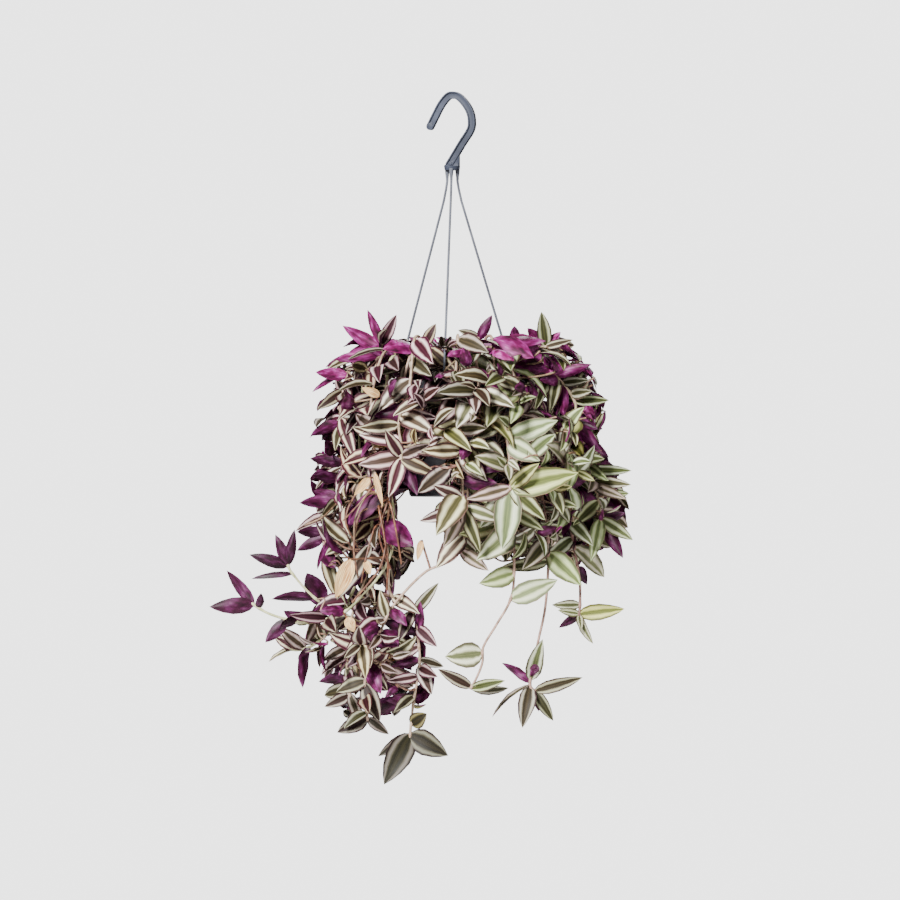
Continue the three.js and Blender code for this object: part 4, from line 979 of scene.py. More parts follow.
# %% Stems with chosen routes
STEP = 1.1
SPRIGS = [
    dict(name="trail_front", root=(42, 4), lift=20, fill=[(4, -1, 1.8, 1), (8, 4.4, 7.8, 0.72)], route=[
        (10, -97, 312), (16, -101, 380), (8, -99, 450), (-27, -95, 472), (-55, -93, 501), (-67, -93, 522),
        (-78, -93, 552), (-86, -93, 584), (-83, -93, 618),
    ], leaves=[
        (1, 44, -108, 408, 17, 10), (2, 36, -104, 470, 14, 0), (4.8, -71, -100, 489, 13, 0),
        (6.5, -63, -98, 588, 14, 0), (7, -71, -103, 618, 20, 10), (8, -113, -97, 629, 17, 0),
        (8, -62, -96, 631, 11, 0),
    ]),
    dict(name="trail_bottom", root=(42, -30), lift=20, fill=[(5, -1, 2.6, 1), (7, 5.2, 9.7, 0.72)], route=[
        (-54, -75, 312), (-66, -76, 360), (-71, -76, 410), (-65, -78, 435), (-63, -80, 468),
        (-60, -82, 494), (-38, -84, 512), (-34, -84, 534), (-32, -84, 563), (-38, -84, 600),
        (-42, -84, 638),
    ], leaves=[
        (6, -13, -88, 482, 12, 0), (6.9, -71, -90, 519, 13, 180), (7.1, -31, -96, 500, 10, 170),
        (7.9, -8, -80, 565, 10, 0), (7.9, -60, -88, 565, 12, 180), (8.3, -65, -94, 579, 12, 0),
        (8, -20, -92, 592, 16, 0), (9.1, -25, -78, 603, 9, 65), (9, -66, -88, 598, 12, 180),
        (9.7, -25, -90, 611, 17, 0), (9.8, -73, -88, 653, 13, 0), (10, -55, -76, 674, 14, 180),
        (10, -67, -92, 680, 27, 0), (10, -4, -96, 652, 25, 0),
    ]),
    dict(name="trail_left", root=(42, -62), lift=20, fill=[(5, -1, 2.4, 0.95), (8, 3.3, 7.7, 0.72)], route=[
        (-78, -49, 312), (-76, -56, 365), (-70, -60, 415), (-82, -60, 450), (-86, -60, 478),
        (-98, -62, 512), (-104, -64, 545), (-103, -66, 572), (-101, -66, 596),
    ], leaves=[
        (2.7, -102, -66, 484, 12, 180), (2.9, -114, -70, 500, 17, 0), (5.3, -113, -74, 529, 13, 0),
        (6.2, -128, -74, 560, 13, 20), (6.9, -94, -76, 590, 13, 0), (7.3, -132, -68, 580, 13, 160),
        (8, -126, -70, 605, 13, 0), (8, -88, -70, 626, 12, 0),
    ]),
    dict(name="twig_left_low", root=(42, -78), lift=20, fill=[(4, -1, 2.2, 0.9), (6, 2.8, 6.6, 0.72)], route=[
        (-86, -31, 312), (-84, -40, 372), (-80, -44, 425), (-94, -48, 480), (-112, -50, 518),
        (-132, -52, 541), (-148, -54, 549), (-160, -54, 549),
    ], leaves=[
        (2, -98, -56, 442, 15, 0), (3.4, -84, -54, 520, 13, 0), (5, -132, -62, 522, 15, 0),
        (5.8, -148, -60, 587, 14, 140), (6, -172, -68, 526, 15, 0), (7, -182, -58, 561, 9, 60),
    ]),
    dict(name="twig_left_long", root=(42, -46), lift=20, fill=[(4, -1, 1.6, 0.9), (5, 3.6, 6.6, 0.68)], route=[
        (-66, -61, 312), (-62, -66, 380), (-57, -66, 430), (-66, -69, 467), (-99, -76, 506),
        (-122, -79, 517), (-145, -81, 522), (-161, -82, 519), (-182, -84, 512), (-198, -85, 502),
    ], leaves=[
        (5, -160, -94, 514, 13, 0), (7.1, -184, -90, 541, 13, 180), (8.6, -188, -92, 492, 9, 20),
        (9, -222, -85, 470, 12, 180), (9, -239, -90, 506, 17, 0),
    ]),
    dict(name="twig_left_up", root=(42, -91), lift=20, fill=[(4, -1, 2.4, 0.9), (3, 3.2, 5.6, 0.68)], route=[
        (-91, -14, 312), (-92, -24, 370), (-88, -30, 420), (-84, -34, 470), (-98, -38, 502),
        (-116, -41, 511), (-128, -43, 505), (-144, -46, 491), (-159, -50, 473), (-163, -50, 465),
    ], leaves=[
        (6, -144, -54, 473, 22, 180), (6.5, -179, -52, 499, 12, 150), (8, -199, -50, 480, 10, 50),
        (9, -201, -52, 455, 13, 0), (9, -175, -50, 435, 12, 0), (9, -156, -54, 430, 11, 0),
    ]),
    dict(name="side_left_middle", root=(42, -104), lift=20, fill=[(5, -1, 2.4, 0.85)], route=[
        (-92, 18, 314), (-106, 0, 352), (-112, -16, 388), (-114, -24, 404),
    ], leaves=[
        (1.4, -142, -10, 360, 13, 170), (1.8, -139, -30, 376, 12, 180), (2.7, -138, -22, 392, 10, 180),
        (3, -152, -30, 404, 14, 180), (3, -130, -44, 418, 13, 0),
    ]),
    dict(name="side_left_low", root=(42, -116), lift=20, fill=[(5, -1, 3.6, 0.85)], route=[
        (-82, 48, 314), (-100, 34, 360), (-112, 10, 405), (-127, -4, 434), (-127, -8, 460),
    ], leaves=[
        (3, -155, -12, 433, 12, 180), (3.2, -155, -8, 452, 12, 180), (4, -114, -14, 502, 15, 0),
        (3.8, -104, -22, 470, 14, 0),
    ]),
    dict(name="side_left_high", root=(30, -80), lift=0, fill=[(4, 0.4, 2.8, 0.85)], route=[
        (-60, -12, 246), (-92, -18, 254), (-109, -26, 296), (-111, -32, 330),
    ], leaves=[
        (1.6, -136, -30, 274, 13, 180), (1.7, -89, -44, 306, 14, 0), (2, -134, -36, 311, 13, 0),
        (2.8, -96, -54, 361, 15, 0), (3, -141, -38, 337, 13, 160), (3, -116, -50, 352, 12, 20),
    ]),
    dict(name="top_left", root=(24, -62), lift=0, fill=[(3, 0.2, 2.4, 0.8)], route=[
        (-40, -30, 262), (-58, -36, 256), (-70, -40, 252), (-70, -40, 246),
    ], leaves=[
        (0.9, -67, -54, 259, 11, 180), (1.2, -85, -50, 250, 11, 180), (1.7, -117, -48, 262, 14, 180),
        (2, -109, -40, 228, 15, 180), (3, -55, -44, 217, 13, 0), (3, -84, -46, 212, 10, 180),
    ]),
    dict(name="top_front", root=(26, -14), lift=0, fill=[(3, 0.2, 1.8, 0.9)], route=[
        (-22, -44, 250), (-37, -52, 250), (-44, -57, 266),
    ], leaves=[
        (0, -37, -62, 254, 15, 0), (0, 6, -62, 277, 14, 0), (0.4, -16, -48, 226, 12, 0),
        (1.6, -18, -74, 284, 12, 180), (2, -75, -68, 277, 13, 0), (2, -56, -62, 252, 12, 0),
        (2, -50, -78, 306, 15, 0),
    ]),
    dict(name="top_middle", root=(16, 30), lift=0, fill=[(2, 0.2, 1.4, 0.8)], route=[
        (18, -26, 262), (25, -31, 246), (27, -32, 238),
    ], leaves=[
        (0.2, 44, -52, 262, 15, 0), (0.6, 50, -36, 244, 13, 0), (1.6, 40, -36, 217, 11, 0),
        (2, 6, -36, 232, 9, 0), (2, 8, -42, 250, 10, 180),
    ]),
    dict(name="top_right", root=(26, 60), lift=0, fill=[(3, 0.2, 2.6, 0.8)], route=[
        (46, -30, 250), (68, -34, 246), (84, -36, 248), (94, -38, 249),
    ], leaves=[
        (0.8, 62, -38, 228, 11, 180), (1.1, 60, -62, 288, 12, 180), (1.7, 84, -60, 288, 12, 180),
        (2.4, 65, -54, 255, 11, 180), (2.8, 75, -46, 230, 12, 180), (3, 89, -40, 214, 15, 0),
        (3, 108, -42, 234, 10, 180), (3, 120, -42, 242, 9, 0),
    ]),
    dict(name="side_right_high", root=(30, 82), lift=0, fill=[(4, 0.4, 3.6, 0.9)], route=[
        (66, -22, 266), (96, -30, 274), (114, -36, 290), (123, -38, 307), (119, -46, 324),
    ], leaves=[
        (1, 82, -64, 313, 14, 0), (1.3, 139, -36, 266, 11, 180), (1.5, 97, -62, 315, 13, 0),
        (1.8, 136, -46, 282, 11, 0), (1.9, 110, -60, 318, 12, 180), (2.4, 138, -56, 293, 13, 0),
        (2.8, 156, -42, 302, 12, 0), (3.8, 145, -50, 331, 11, 180), (4, 150, -54, 356, 13, 180),
    ]),
    dict(name="side_right", root=(42, 84), lift=20, fill=[(5, -1, 3.6, 0.95)], route=[
        (90, -14, 308), (112, -18, 334), (134, -24, 366), (145, -28, 398), (148, -31, 424),
    ], leaves=[
        (1.4, 130, -52, 358, 17, 0), (2, 155, -50, 382, 13, 0), (2.2, 179, -26, 372, 12, 0),
        (2.6, 178, -40, 386, 13, 0), (2.8, 173, -46, 400, 12, 0), (3.2, 120, -56, 426, 17, 0),
        (4, 173, -36, 414, 11, 180), (4, 180, -38, 441, 15, 0), (4, 170, -48, 459, 14, 180),
        (4, 138, -50, 462, 16, 0),
    ]),
    dict(name="trail_right_side", root=(42, 64), lift=20, fill=[(5, -1, 2.6, 0.95)], route=[
        (81, -43, 312), (102, -46, 360), (116, -46, 420), (125, -46, 470), (127, -46, 486), (127, -46, 504),
        (126, -46, 516),
    ], leaves=[
        (2, 140, -60, 446, 16, 0), (2.4, 90, -56, 462, 16, 0), (3, 134, -38, 485, 12, 180),
        (5.2, 99, -54, 505, 11, 0), (6, 105, -56, 510, 9, 0), (6, 106, -40, 528, 9, 180),
        (6, 128, -54, 530, 8, 0), (6, 140, -48, 544, 11, 40), (6, 171, -54, 509, 17, 0),
    ]),
    dict(name="trail_right", root=(42, 45), lift=20, fill=[(4, -1, 2.4, 1)], route=[
        (66, -64, 312), (84, -66, 370), (94, -66, 430), (95, -66, 468), (92, -68, 508), (85, -70, 541),
        (77, -72, 581), (82, -72, 590),
    ], leaves=[
        (1.6, 58, -82, 420, 17, 0), (2.6, 128, -74, 485, 24, 0), (2.9, 46, -80, 468, 15, 0),
        (6, 89, -84, 538, 17, 0), (6, 84, -86, 562, 10, 180), (6, 49, -80, 561, 10, 160),
        (6.2, 39, -74, 615, 11, 70), (6.4, 69, -84, 625, 18, 0), (7, 86, -66, 610, 9, 180),
        (7, 100, -74, 619, 13, 0), (7, 129, -76, 576, 14, 0),
    ]),
    dict(name="trail_right_front", root=(42, 24), lift=20, fill=[(4, -1, 2.2, 1)], route=[
        (37, -85, 312), (54, -88, 370), (60, -90, 420), (61, -90, 476), (57, -90, 500), (44, -90, 523),
        (31, -90, 545), (30, -90, 560), (25, -90, 574), (18, -90, 587),
    ], leaves=[
        (1.8, 90, -100, 430, 15, 0), (2.2, 22, -98, 452, 16, 0), (3, 27, -100, 483, 21, 0),
        (4, 104, -100, 479, 23, 0), (6.6, -7, -98, 555, 26, 0), (9, 52, -98, 578, 12, 0),
        (9, 56, -86, 586, 11, 30), (9, -14, -92, 567, 13, 0),
    ]),
    dict(name="face_right", root=(28, 28), lift=40, fill=[(3, -1, 1.4, 1)], route=[
        (43, -92, 296), (54, -106, 340), (57, -113, 375), (57, -118, 391),
    ], leaves=[
        (0.6, 20, -112, 340, 18, 0), (1, 104, -104, 322, 22, 0), (1.2, 86, -118, 362, 22, 0),
        (2.9, 14, -122, 400, 16, 0), (2.9, 85, -126, 364, 16, 0), (3, 124, -112, 373, 27, 0),
        (3, 50, -116, 449, 28, 0), (3, 92, -116, 420, 18, 0),
    ]),
    dict(name="face_middle", root=(28, 4), lift=40, fill=[(4, -1, 2.4, 1)], route=[
        (3, -100, 300), (8, -112, 345), (10, -119, 385), (10, -121, 411),
    ], leaves=[
        (0.7, 34, -120, 330, 16, 0), (1.2, -30, -122, 352, 17, 0), (2, 44, -126, 384, 16, 180),
        (2.6, -19, -128, 386, 15, 0), (3, 50, -118, 421, 15, 0), (3, -32, -122, 421, 15, 0),
        (3, -8, -128, 447, 18, 0), (3, 28, -124, 452, 15, 0),
    ]),
    dict(name="face_left", root=(28, -26), lift=40, fill=[(4, -1, 1.8, 0.95)], route=[
        (-42, -92, 290), (-52, -94, 322), (-50, -94, 348), (-50, -96, 361),
    ], leaves=[
        (0.8, -14, -102, 320, 16, 0), (1.2, -92, -92, 330, 16, 0), (2.8, -66, -102, 332, 15, 0),
        (2.8, -22, -106, 346, 14, 0), (3, -92, -98, 366, 19, 0), (3, -14, -104, 376, 15, 0),
        (3, -62, -102, 398, 17, 0), (3, -34, -102, 396, 14, 180),
    ]),
]
print(len(SPRIGS), "stems with chosen routes")

# %% [markdown]
# The rest of the mound is filled by stems in rings round the pot. Their paths are [radius, down from the
# rim], and numbers say how their leaves lie.

# %% Stems in rings
RINGS = [
    dict(
        name="skirt", count=7, start=92, step=28, root=52,
        path=[(56, -8), (70, -13), (88, -8), (97, 24), (100, 64), (102, 100)],
        leaves=dict(count=5, start=2.2, along=0.45, side=0.75, out=0.35, rise=-0.1, face=0.85, up=0.5),
    ),
    dict(
        name="shoulder", count=12, start=4, step=30, root=35,
        path=[(42, -26), (66, -34), (92, -28), (108, 0), (116, 36)],
        leaves=dict(count=5, start=1.3, along=0.45, side=0.75, out=0.3, rise=0.1, face=0.5, up=0.8),
    ),
    dict(
        name="crown", count=6, start=20, step=60, root=16,
        path=[(18, -14), (32, -21), (54, -23), (74, -20)],
        leaves=dict(count=5, start=0.6, along=0.4, side=0.7, out=0.35, rise=0.25, face=-0.35, up=0.8),
    ),
]
SPRIG_FILL = dict(along=0.45, side=0.8, out=0.35, rise=-0.05, face=0.9, up=0.35)
STEM_TURNS = (0, 4, -4, 8, -8, 12, -12)
UP = np.array([0.0, 0.0, 1.0])
FRONT = np.array([0.0, -1.0, 0.0])
RIM_DOWN = -RIM_Z / STEP
print(sum(ring["count"] for ring in RINGS), "stems in", len(RINGS), "rings")

# %% [markdown]
# These small functions turn the plan into places. They follow the frame's own plan, so that every leaf
# grows where the frame has one.

# %% From the plan to places in millimetres
# A stem starts this deep in the soil, and leaves it this high.
ROOT_DEPTH, ROOT_TOP = 11, 7
# How far out a stem passes over the rim, and at what share of its lift.
OVER_THE_RIM = [(62, 0.85), (84, 1.0)]


def place(right, back, down):
    """A point of the plan in millimetres."""
    return np.array([right, back, -down]) * STEP


def polar(radius, degrees, down):
    """A point of the plan at a radius and in degrees from the front towards the right."""
    angle = math.radians(degrees)
    return place(radius * math.sin(angle), -radius * math.cos(angle), down)


def root_places(radius, direction):
    """The start of a stem: down in the soil, then just above it."""
    surface = soil_z(radius * STEP)
    return [polar(radius, direction, -z / STEP) for z in (surface - ROOT_DEPTH, surface + ROOT_TOP)]


def sprig_places(sprig):
    """The places of a stem with a chosen route."""
    direction, lift = sprig["root"][1], sprig["lift"]
    rise = OVER_THE_RIM if lift else []
    over = [polar(radius, direction, RIM_DOWN - share * lift) for radius, share in rise]
    return [*root_places(*sprig["root"]), *over, *(place(*p) for p in sprig["route"])]


def ring_places(ring, direction, wider, lower):
    """The places of a stem of a ring."""
    last = len(ring["path"]) - 1
    path = [
        polar(radius + wider * i / last, direction, RIM_DOWN + down + lower * i / last)
        for i, (radius, down) in enumerate(ring["path"])
    ]
    return [*root_places(ring["root"], direction), *path]


print("the first stem has", len(sprig_places(SPRIGS[0])), "places")

# %% [markdown]
# A leaf is known by its two ends, its width, the way its upper side faces, and its arch. Those with a
# chosen tip turn their striped face to the front. A filling leaf leaves its stem to one side, and what
# its rule says varies a little from leaf to leaf.

# %% Where a leaf lies
# How much each number of a rule varies from leaf to leaf.
FILL_SPREAD = dict(
    along=(-0.1, 0.3), side=(-0.25, 0.25), out=(-0.2, 0.3), rise=(-0.3, 0.25), face=(-0.2, 0.2), up=(-0.2, 0.2)
)
FILL_SWAY = (-0.25, 0.25)
# Length in millimetres, and width and arch as shares of the length.
FILL_LENGTHS, FILL_WIDTHS, FILL_ARCHES = (40, 58), (0.44, 0.54), (0.05, 0.12)
CHOSEN_ARCH = 0.08


def stem_point(places, at):
    """The point of a stem at a number of places along it."""
    step = min(at, len(places) - 1)
    start = min(math.floor(step), len(places) - 2)
    return places[start] + (places[start + 1] - places[start]) * (step - start)


def away_from_axis(point):
    """The level direction from the pot's axis to a point."""
    return unit(np.array([point[0], point[1], 0.0]))


def leaf_at(base, tip, width, upper, arch):
    """A leaf's place: its two ends, its width, the way its upper side faces, and how far it arches."""
    return dict(base=base, tip=tip, width=width, upper=upper, arch=arch)


def front_leaf(base, tip, width, roll):
    """A leaf whose striped face is turned to the front and then rolled."""
    along = unit(tip - base)
    upper = rotated(unit(FRONT - along * FRONT.dot(along)), along, roll)
    return leaf_at(base, tip, width, upper, CHOSEN_ARCH)


def fill_leaf(base, along, outward, turn, rule, size, roll):
    """A filling leaf that leaves its stem to one side."""
    own = {key: rule[key] + roll(*spread) for key, spread in FILL_SPREAD.items()}
    across = np.cross(UP, outward) * turn
    direction = unit(along * own["along"] + across * own["side"] + outward * own["out"] + UP * own["rise"])
    upper = outward * own["face"] + UP * own["up"] + across * roll(*FILL_SWAY)
    length = size * roll(*FILL_LENGTHS)
    width = length * roll(*FILL_WIDTHS)
    upper = unit(upper - direction * upper.dot(direction))
    return leaf_at(base, base + direction * length, width, upper, roll(*FILL_ARCHES))


def bent(blade, turn, lift, share):
    """A leaf turned in its own plane, lifted and shortened."""
    line = rotated((blade["tip"] - blade["base"]) * share, blade["upper"], turn)
    side = unit(np.cross(line, blade["upper"]))
    tip = blade["base"] + rotated(line, side, lift)
    upper = rotated(blade["upper"], side, lift)
    return leaf_at(blade["base"], tip, blade["width"] * share, upper, blade["arch"])


print("filling leaves are", FILL_LENGTHS[0], "to", FILL_LENGTHS[1], "mm long")

# %% [markdown]
# In the frame a leaf whose place was taken has turned, lifted or shrunk a little, and its tip is a corner
# of the stem's node. So each leaf tries those turns in the same order and takes the one whose tip the
# node has.

# %% Find each leaf's tip in the frame
TIP_TOLERANCE = 0.1
# Leaves keep this far from a stem's end, and their bases are staggered in five steps.
LAST_START = 1.07
BASE_STEP = 0.029
LOOK_AHEAD = 0.2
# Share of its length, lift and turn, in the order in which the frame tries them.
LEAF_TRIALS = [
    (share, lift, turn)
    for share in (1, 0.86, 0.72) for lift in (0, 14, -14, 28) for turn in (0, 12, -12, 24, -24, 36, -36)
]


def search_tree(places):
    """Places ready to be searched."""
    tree = KDTree(len(places))
    for i, spot in enumerate(places):
        tree.insert(spot, i)
    tree.balance()
    return tree


def add_known_leaf(stem, blade):
    """Adds the leaf to the stem in the way that the frame has it, if it has."""
    for share, lift, turn in LEAF_TRIALS:
        found = bent(blade, turn, lift, share)
        if stem["corners"].find(found["tip"])[2] < TIP_TOLERANCE:
            stem["blades"].append({**found, "planned": blade})
            return


def leaf_base(stem, at):
    """Where on its stem the next leaf starts."""
    places = stem["places"]
    return stem_point(places, min(at, len(places) - LAST_START) - BASE_STEP * (len(stem["blades"]) % 5))


def add_fill(stem, at, outward, i, rule, size, roll):
    """Adds a filling leaf, on one side of the stem and then on the other."""
    along = unit(stem_point(stem["places"], at + LOOK_AHEAD) - stem_point(stem["places"], at - LOOK_AHEAD))
    turn = 1 if i % 2 == 0 else -1
    add_known_leaf(stem, fill_leaf(leaf_base(stem, at), along, outward, turn, rule, size, roll))


def bare_stem(name, places):
    """A stem before it has leaves, with its node's corners in millimetres."""
    corners = search_tree([vertex.co / MM for vertex in nodes[name].data.vertices])
    return dict(name=name, places=places, blades=[], chosen=0, corners=corners)


print(len(LEAF_TRIALS), "ways for a leaf to shrink, lift and turn")

# %% [markdown]
# A stem with a chosen route carries its chosen leaves first, and rows of filling leaves that lean to the
# front. In the frame, a stem of a ring has turned a few degrees round the pot where it met another. It
# takes the turn with which most of its leaves find their tips.

# %% Grow the stems
SPRIG_SEED = 5000
RING_SEED = 1000
FRONT_LEAN = 0.7
# How far a ring's stem strays from its direction, from its circle, and up or down.
TURN_SWAY, WIDTH_SWAY, HEIGHT_SWAY = (-3, 3), (-3, 4), (-6, 6)


def grow_sprig(number, sprig):
    """A stem with a chosen route, with its leaves."""
    places = sprig_places(sprig)
    hidden = len(places) - len(sprig["route"])
    stem = bare_stem(sprig["name"], places)
    for at, right, back, down, width, roll in sprig["leaves"]:
        tip = place(right, back, down)
        add_known_leaf(stem, front_leaf(leaf_base(stem, hidden + at), tip, width * STEP, roll))
    stem["chosen"] = len(stem["blades"])
    for row, (count, start, end, size) in enumerate(sprig["fill"]):
        for i in range(count):
            at = hidden + start + (end - start) * i / max(count - 1, 1)
            outward = unit(away_from_axis(stem_point(places, at)) + FRONT_LEAN * FRONT)
            add_fill(stem, at, outward, i, SPRIG_FILL, size, dice(SPRIG_SEED + 100 * number + 20 * row + i))
    return stem


def grow_ring_stem(name, places, rule, seed):
    """A stem of a ring, with its leaves."""
    stem = bare_stem(name, places)
    last = len(places) - 1
    for i in range(rule["count"]):
        at = 2 + rule["start"] + (last - 2 - rule["start"]) * i / (rule["count"] - 1)
        add_fill(stem, at, away_from_axis(stem_point(places, at)), i, rule, 1, dice(seed + i))
    return stem


def grow_ring(number, ring):
    """The stems of a ring. Each takes the turn round the pot that agrees best with its node."""
    grown = []
    for i in range(ring["count"]):
        name = f"{ring['name']}_{i + 1:02d}"
        roll = dice(100 * number + i + 1)
        direction = ring["start"] + i * ring["step"] + roll(*TURN_SWAY)
        shift = roll(*WIDTH_SWAY), roll(*HEIGHT_SWAY)
        if name in nodes:
            turned = [ring_places(ring, direction + turn, *shift) for turn in STEM_TURNS]
            seed = RING_SEED * (number + 1) + 20 * i
            trials = [grow_ring_stem(name, places, ring["leaves"], seed) for places in turned]
            grown.append(max(trials, key=lambda trial: len(trial["blades"])))
    return grown


stems = [grow_sprig(number, sprig) for number, sprig in enumerate(SPRIGS)]
for number, ring in enumerate(RINGS):
    stems += grow_ring(number, ring)
print(len(stems), "stems with", sum(len(stem["blades"]) for stem in stems), "leaves of the frame")

# %% [markdown]
# ## More leaves between them
# The frame keeps to the leaves that give the plant its shape. The real plant has two or three times as
# many, mostly on short side shoots. A leaf is only added if it crosses no other leaf, no strand and no
# part of the pot. BVH trees answer that quickly.

# %% Keep leaves clear of each other
PLAIN_FOLD = 0.25
# How far round its middle a leaf reaches more than half its length.
REACH_MARGIN = 4
CHECKED_FACES = [
    tuple(face.vertices) for face in leaf.data.polygons if face.material_index == 0 and face.center.y > 0.15
]
crowd = dict(centres=[], reaches=[], trees=[])


def tree_of(blade):
    """A blade's upper face as a search tree, with its middle and its reach."""
    middle = (blade["base"] + blade["tip"]) / 2
    reach = np.linalg.norm(blade["tip"] - middle) + REACH_MARGIN
    return middle, reach, BVHTree.FromPolygons(bent_places(blade, PLAIN_FOLD).tolist(), CHECKED_FACES)


def object_tree(piece):
    """A finished piece as a search tree, in millimetres."""
    places = [vertex.co / MM for vertex in piece.data.vertices]
    return BVHTree.FromPolygons(places, [tuple(face.vertices) for face in piece.data.polygons])


OBSTACLES = [object_tree(pot), object_tree(hanger), object_tree(soil)]


def keep(shape):
    """Remembers a placed leaf."""
    for key, value in zip(crowd, shape):
        crowd[key].append(value)


def near(shape):
    """The placed leaves that a leaf could reach."""
    middle, reach, _ = shape
    away = np.linalg.norm(np.array(crowd["centres"]) - middle, axis=1)
    return np.nonzero(away < np.array(crowd["reaches"]) + reach)[0]


def is_free(shape):
    """Whether a leaf crosses nothing that is placed."""
    if any(crowd["trees"][i].overlap(shape[2]) for i in near(shape)):
        return False
    return not any(obstacle.overlap(shape[2]) for obstacle in OBSTACLES)


print("leaves keep clear of", len(OBSTACLES), "pieces and of each other")

# %% [markdown]
# Seen from the front, the plant has an outline, and a few gaps through which the background shows. New
# leaves stay inside the one and out of the other, and none ends in the pot.

# %% Stay in the plant's outline
# The outline and the gaps are seen from the front, in steps right and down. A gap is left, right, top, bottom.
FRONT_OUTLINE = [
    (-107, 250), (-52, 243), (-22, 236), (48, 248), (68, 240), (108, 240), (126, 256), (140, 274), (154, 302),
    (148, 332), (151, 357), (176, 380), (178, 422), (174, 447), (148, 452), (134, 474), (108, 464), (88, 458),
    (48, 464), (16, 458), (8, 446), (-7, 433), (-27, 426), (-32, 416), (-27, 406), (-47, 398), (-50, 415),
    (-53, 431), (-38, 446), (-36, 461), (-50, 475), (-60, 490), (-55, 510), (-40, 525), (-26, 540), (-24, 560),
    (-12, 580), (-30, 600), (-60, 618), (-107, 622), (-122, 597), (-152, 584), (-176, 552), (-184, 527),
    (-160, 502), (-152, 472), (-162, 447), (-140, 422), (-134, 402), (-144, 382), (-130, 342), (-138, 334),
    (-122, 307), (-122, 264),
]
CLEAR_VIEWS = [(-49, -12, 394, 405), (-54, -28, 404, 436), (-30, -12, 427, 437), (-36, -4, 440, 470)]
OUTSIDE_BOX = 6.0
# No leaf ends this close to the pot's wall, foot and rim. The flange counts to a depth of its own.
BESIDE_WALL, UNDER_FOOT, UNDER_RIM, FLANGE_ZONE = 3, 4, 1, 12


def seen_places(points):
    """Points as steps right and down, seen from the front."""
    return points[:, 0] / STEP, -points[:, 2] / STEP


def in_outline(points):
    """Which points are inside the plant's outline: a line from them crosses it oddly."""
    x, down = (values[:, None] for values in seen_places(points))
    x0, d0 = np.array(FRONT_OUTLINE, float).T
    x1, d1 = np.roll(x0, -1), np.roll(d0, -1)
    crossing = x0 + (x1 - x0) * (down - d0) / np.where(d1 == d0, 1, d1 - d0)
    return np.sum(((d0 > down) != (d1 > down)) & (x < crossing), axis=1) % 2 == 1


def in_clear_view(points):
    """Which points would close one of the gaps between the leaves."""
    x, down = seen_places(points)
    closing = [
        (x > left) & (x < right) & (down > top) & (down < bottom)
        for left, right, top, bottom in CLEAR_VIEWS
    ]
    return np.any(closing, axis=0)


def in_the_box(points):
    """Whether points stay within the frame's box, or only just outside it."""
    low, high = np.array(cad_box[0]) / MM - OUTSIDE_BOX, np.array(cad_box[1]) / MM + OUTSIDE_BOX
    return bool(np.all(points > low) and np.all(points < high))


def in_pot(point):
    """Whether a point is inside the pot or just outside its wall."""
    depth = RIM_Z - point[2]
    wall = FLANGE_RADIUS if depth < FLANGE_ZONE else TOP_RADIUS
    return UNDER_RIM < depth < POT_HEIGHT + UNDER_FOOT and math.hypot(point[0], point[1]) < wall + BESIDE_WALL


print("the outline has", len(FRONT_OUTLINE), "corners, and the plant", len(CLEAR_VIEWS), "gaps")

# %% [markdown]
# At the far left and along the top edge, most leaves stand up and show their purple undersides. There
# a leaf's two sides change places, and nothing else of it changes.

# %% Turn some leaves over
# Right, down, reach right, reach down, and the share of leaves that is turned, all from the front.
PURPLE_PLACES = [
    (-200, 470, 60, 40, 1.0), (-140, 520, 24, 40, 0.15), (-105, 250, 50, 45, 0.3), (-20, 244, 60, 16, 0.6),
    (85, 270, 50, 30, 0.35), (72, 246, 26, 12, 1.0), (-142, 370, 30, 50, 0.12), (150, 330, 30, 70, 0.25),
    (36, 232, 12, 16, 1.0), (-52, 434, 16, 14, 1.0), (-20, 570, 12, 30, 0.0), (0, 560, 20, 30, 0.0),
]
PURPLE_ELSEWHERE = 0.08
# In the bunch, this share of the leaves that face away from the front is turned to it.
BUNCH_TURNED = 0.6
BUNCH_RIGHT, BUNCH_TOP = -40, 400


def seen_at(blade):
    """Where a leaf's middle is, seen from the front: steps right and down."""
    middle = (blade["base"] + blade["tip"]) / 2 / STEP
    return middle[0], -middle[2]


def facing(blade):
    """How far a leaf's striped side faces the front. Under 0, the underside shows."""
    return blade["upper"].dot(FRONT)


def underside_share(blade):
    """How likely a leaf is to show its underside, by where its middle is."""
    right, down = seen_at(blade)
    shares = [
        share for x, y, reach_x, reach_y, share in PURPLE_PLACES
        if abs(right - x) < reach_x and abs(down - y) < reach_y
    ]
    share = max(shares, default=PURPLE_ELSEWHERE)
    in_bunch = right < BUNCH_RIGHT and down > BUNCH_TOP
    return BUNCH_TURNED if share < 1 and in_bunch and facing(blade) < 0 else share


def turned_over(blade):
    """The same leaf with its underside where its upper side was."""
    return {**blade, "upper": -blade["upper"], "arch": -blade["arch"]}


print(len(PURPLE_PLACES), "places where undersides are more or less common")

# %% [markdown]
# Solids of the frame may not touch, so some of its leaves had to turn away from each other. Thin leaves
# may cross a little. So a chosen leaf gets its planned place back, or one just in front of it, and
# filling leaves that stand there make room.

# %% Settle the leaves of the frame
FAR_AWAY = np.array([1e6, 0.0, 0.0])
TOUCHING_PAIRS = 8
FORWARD_STEPS = (0, 9, 18)
TURN_SEED = 7000
STEM_SPAN_POINTS = 12


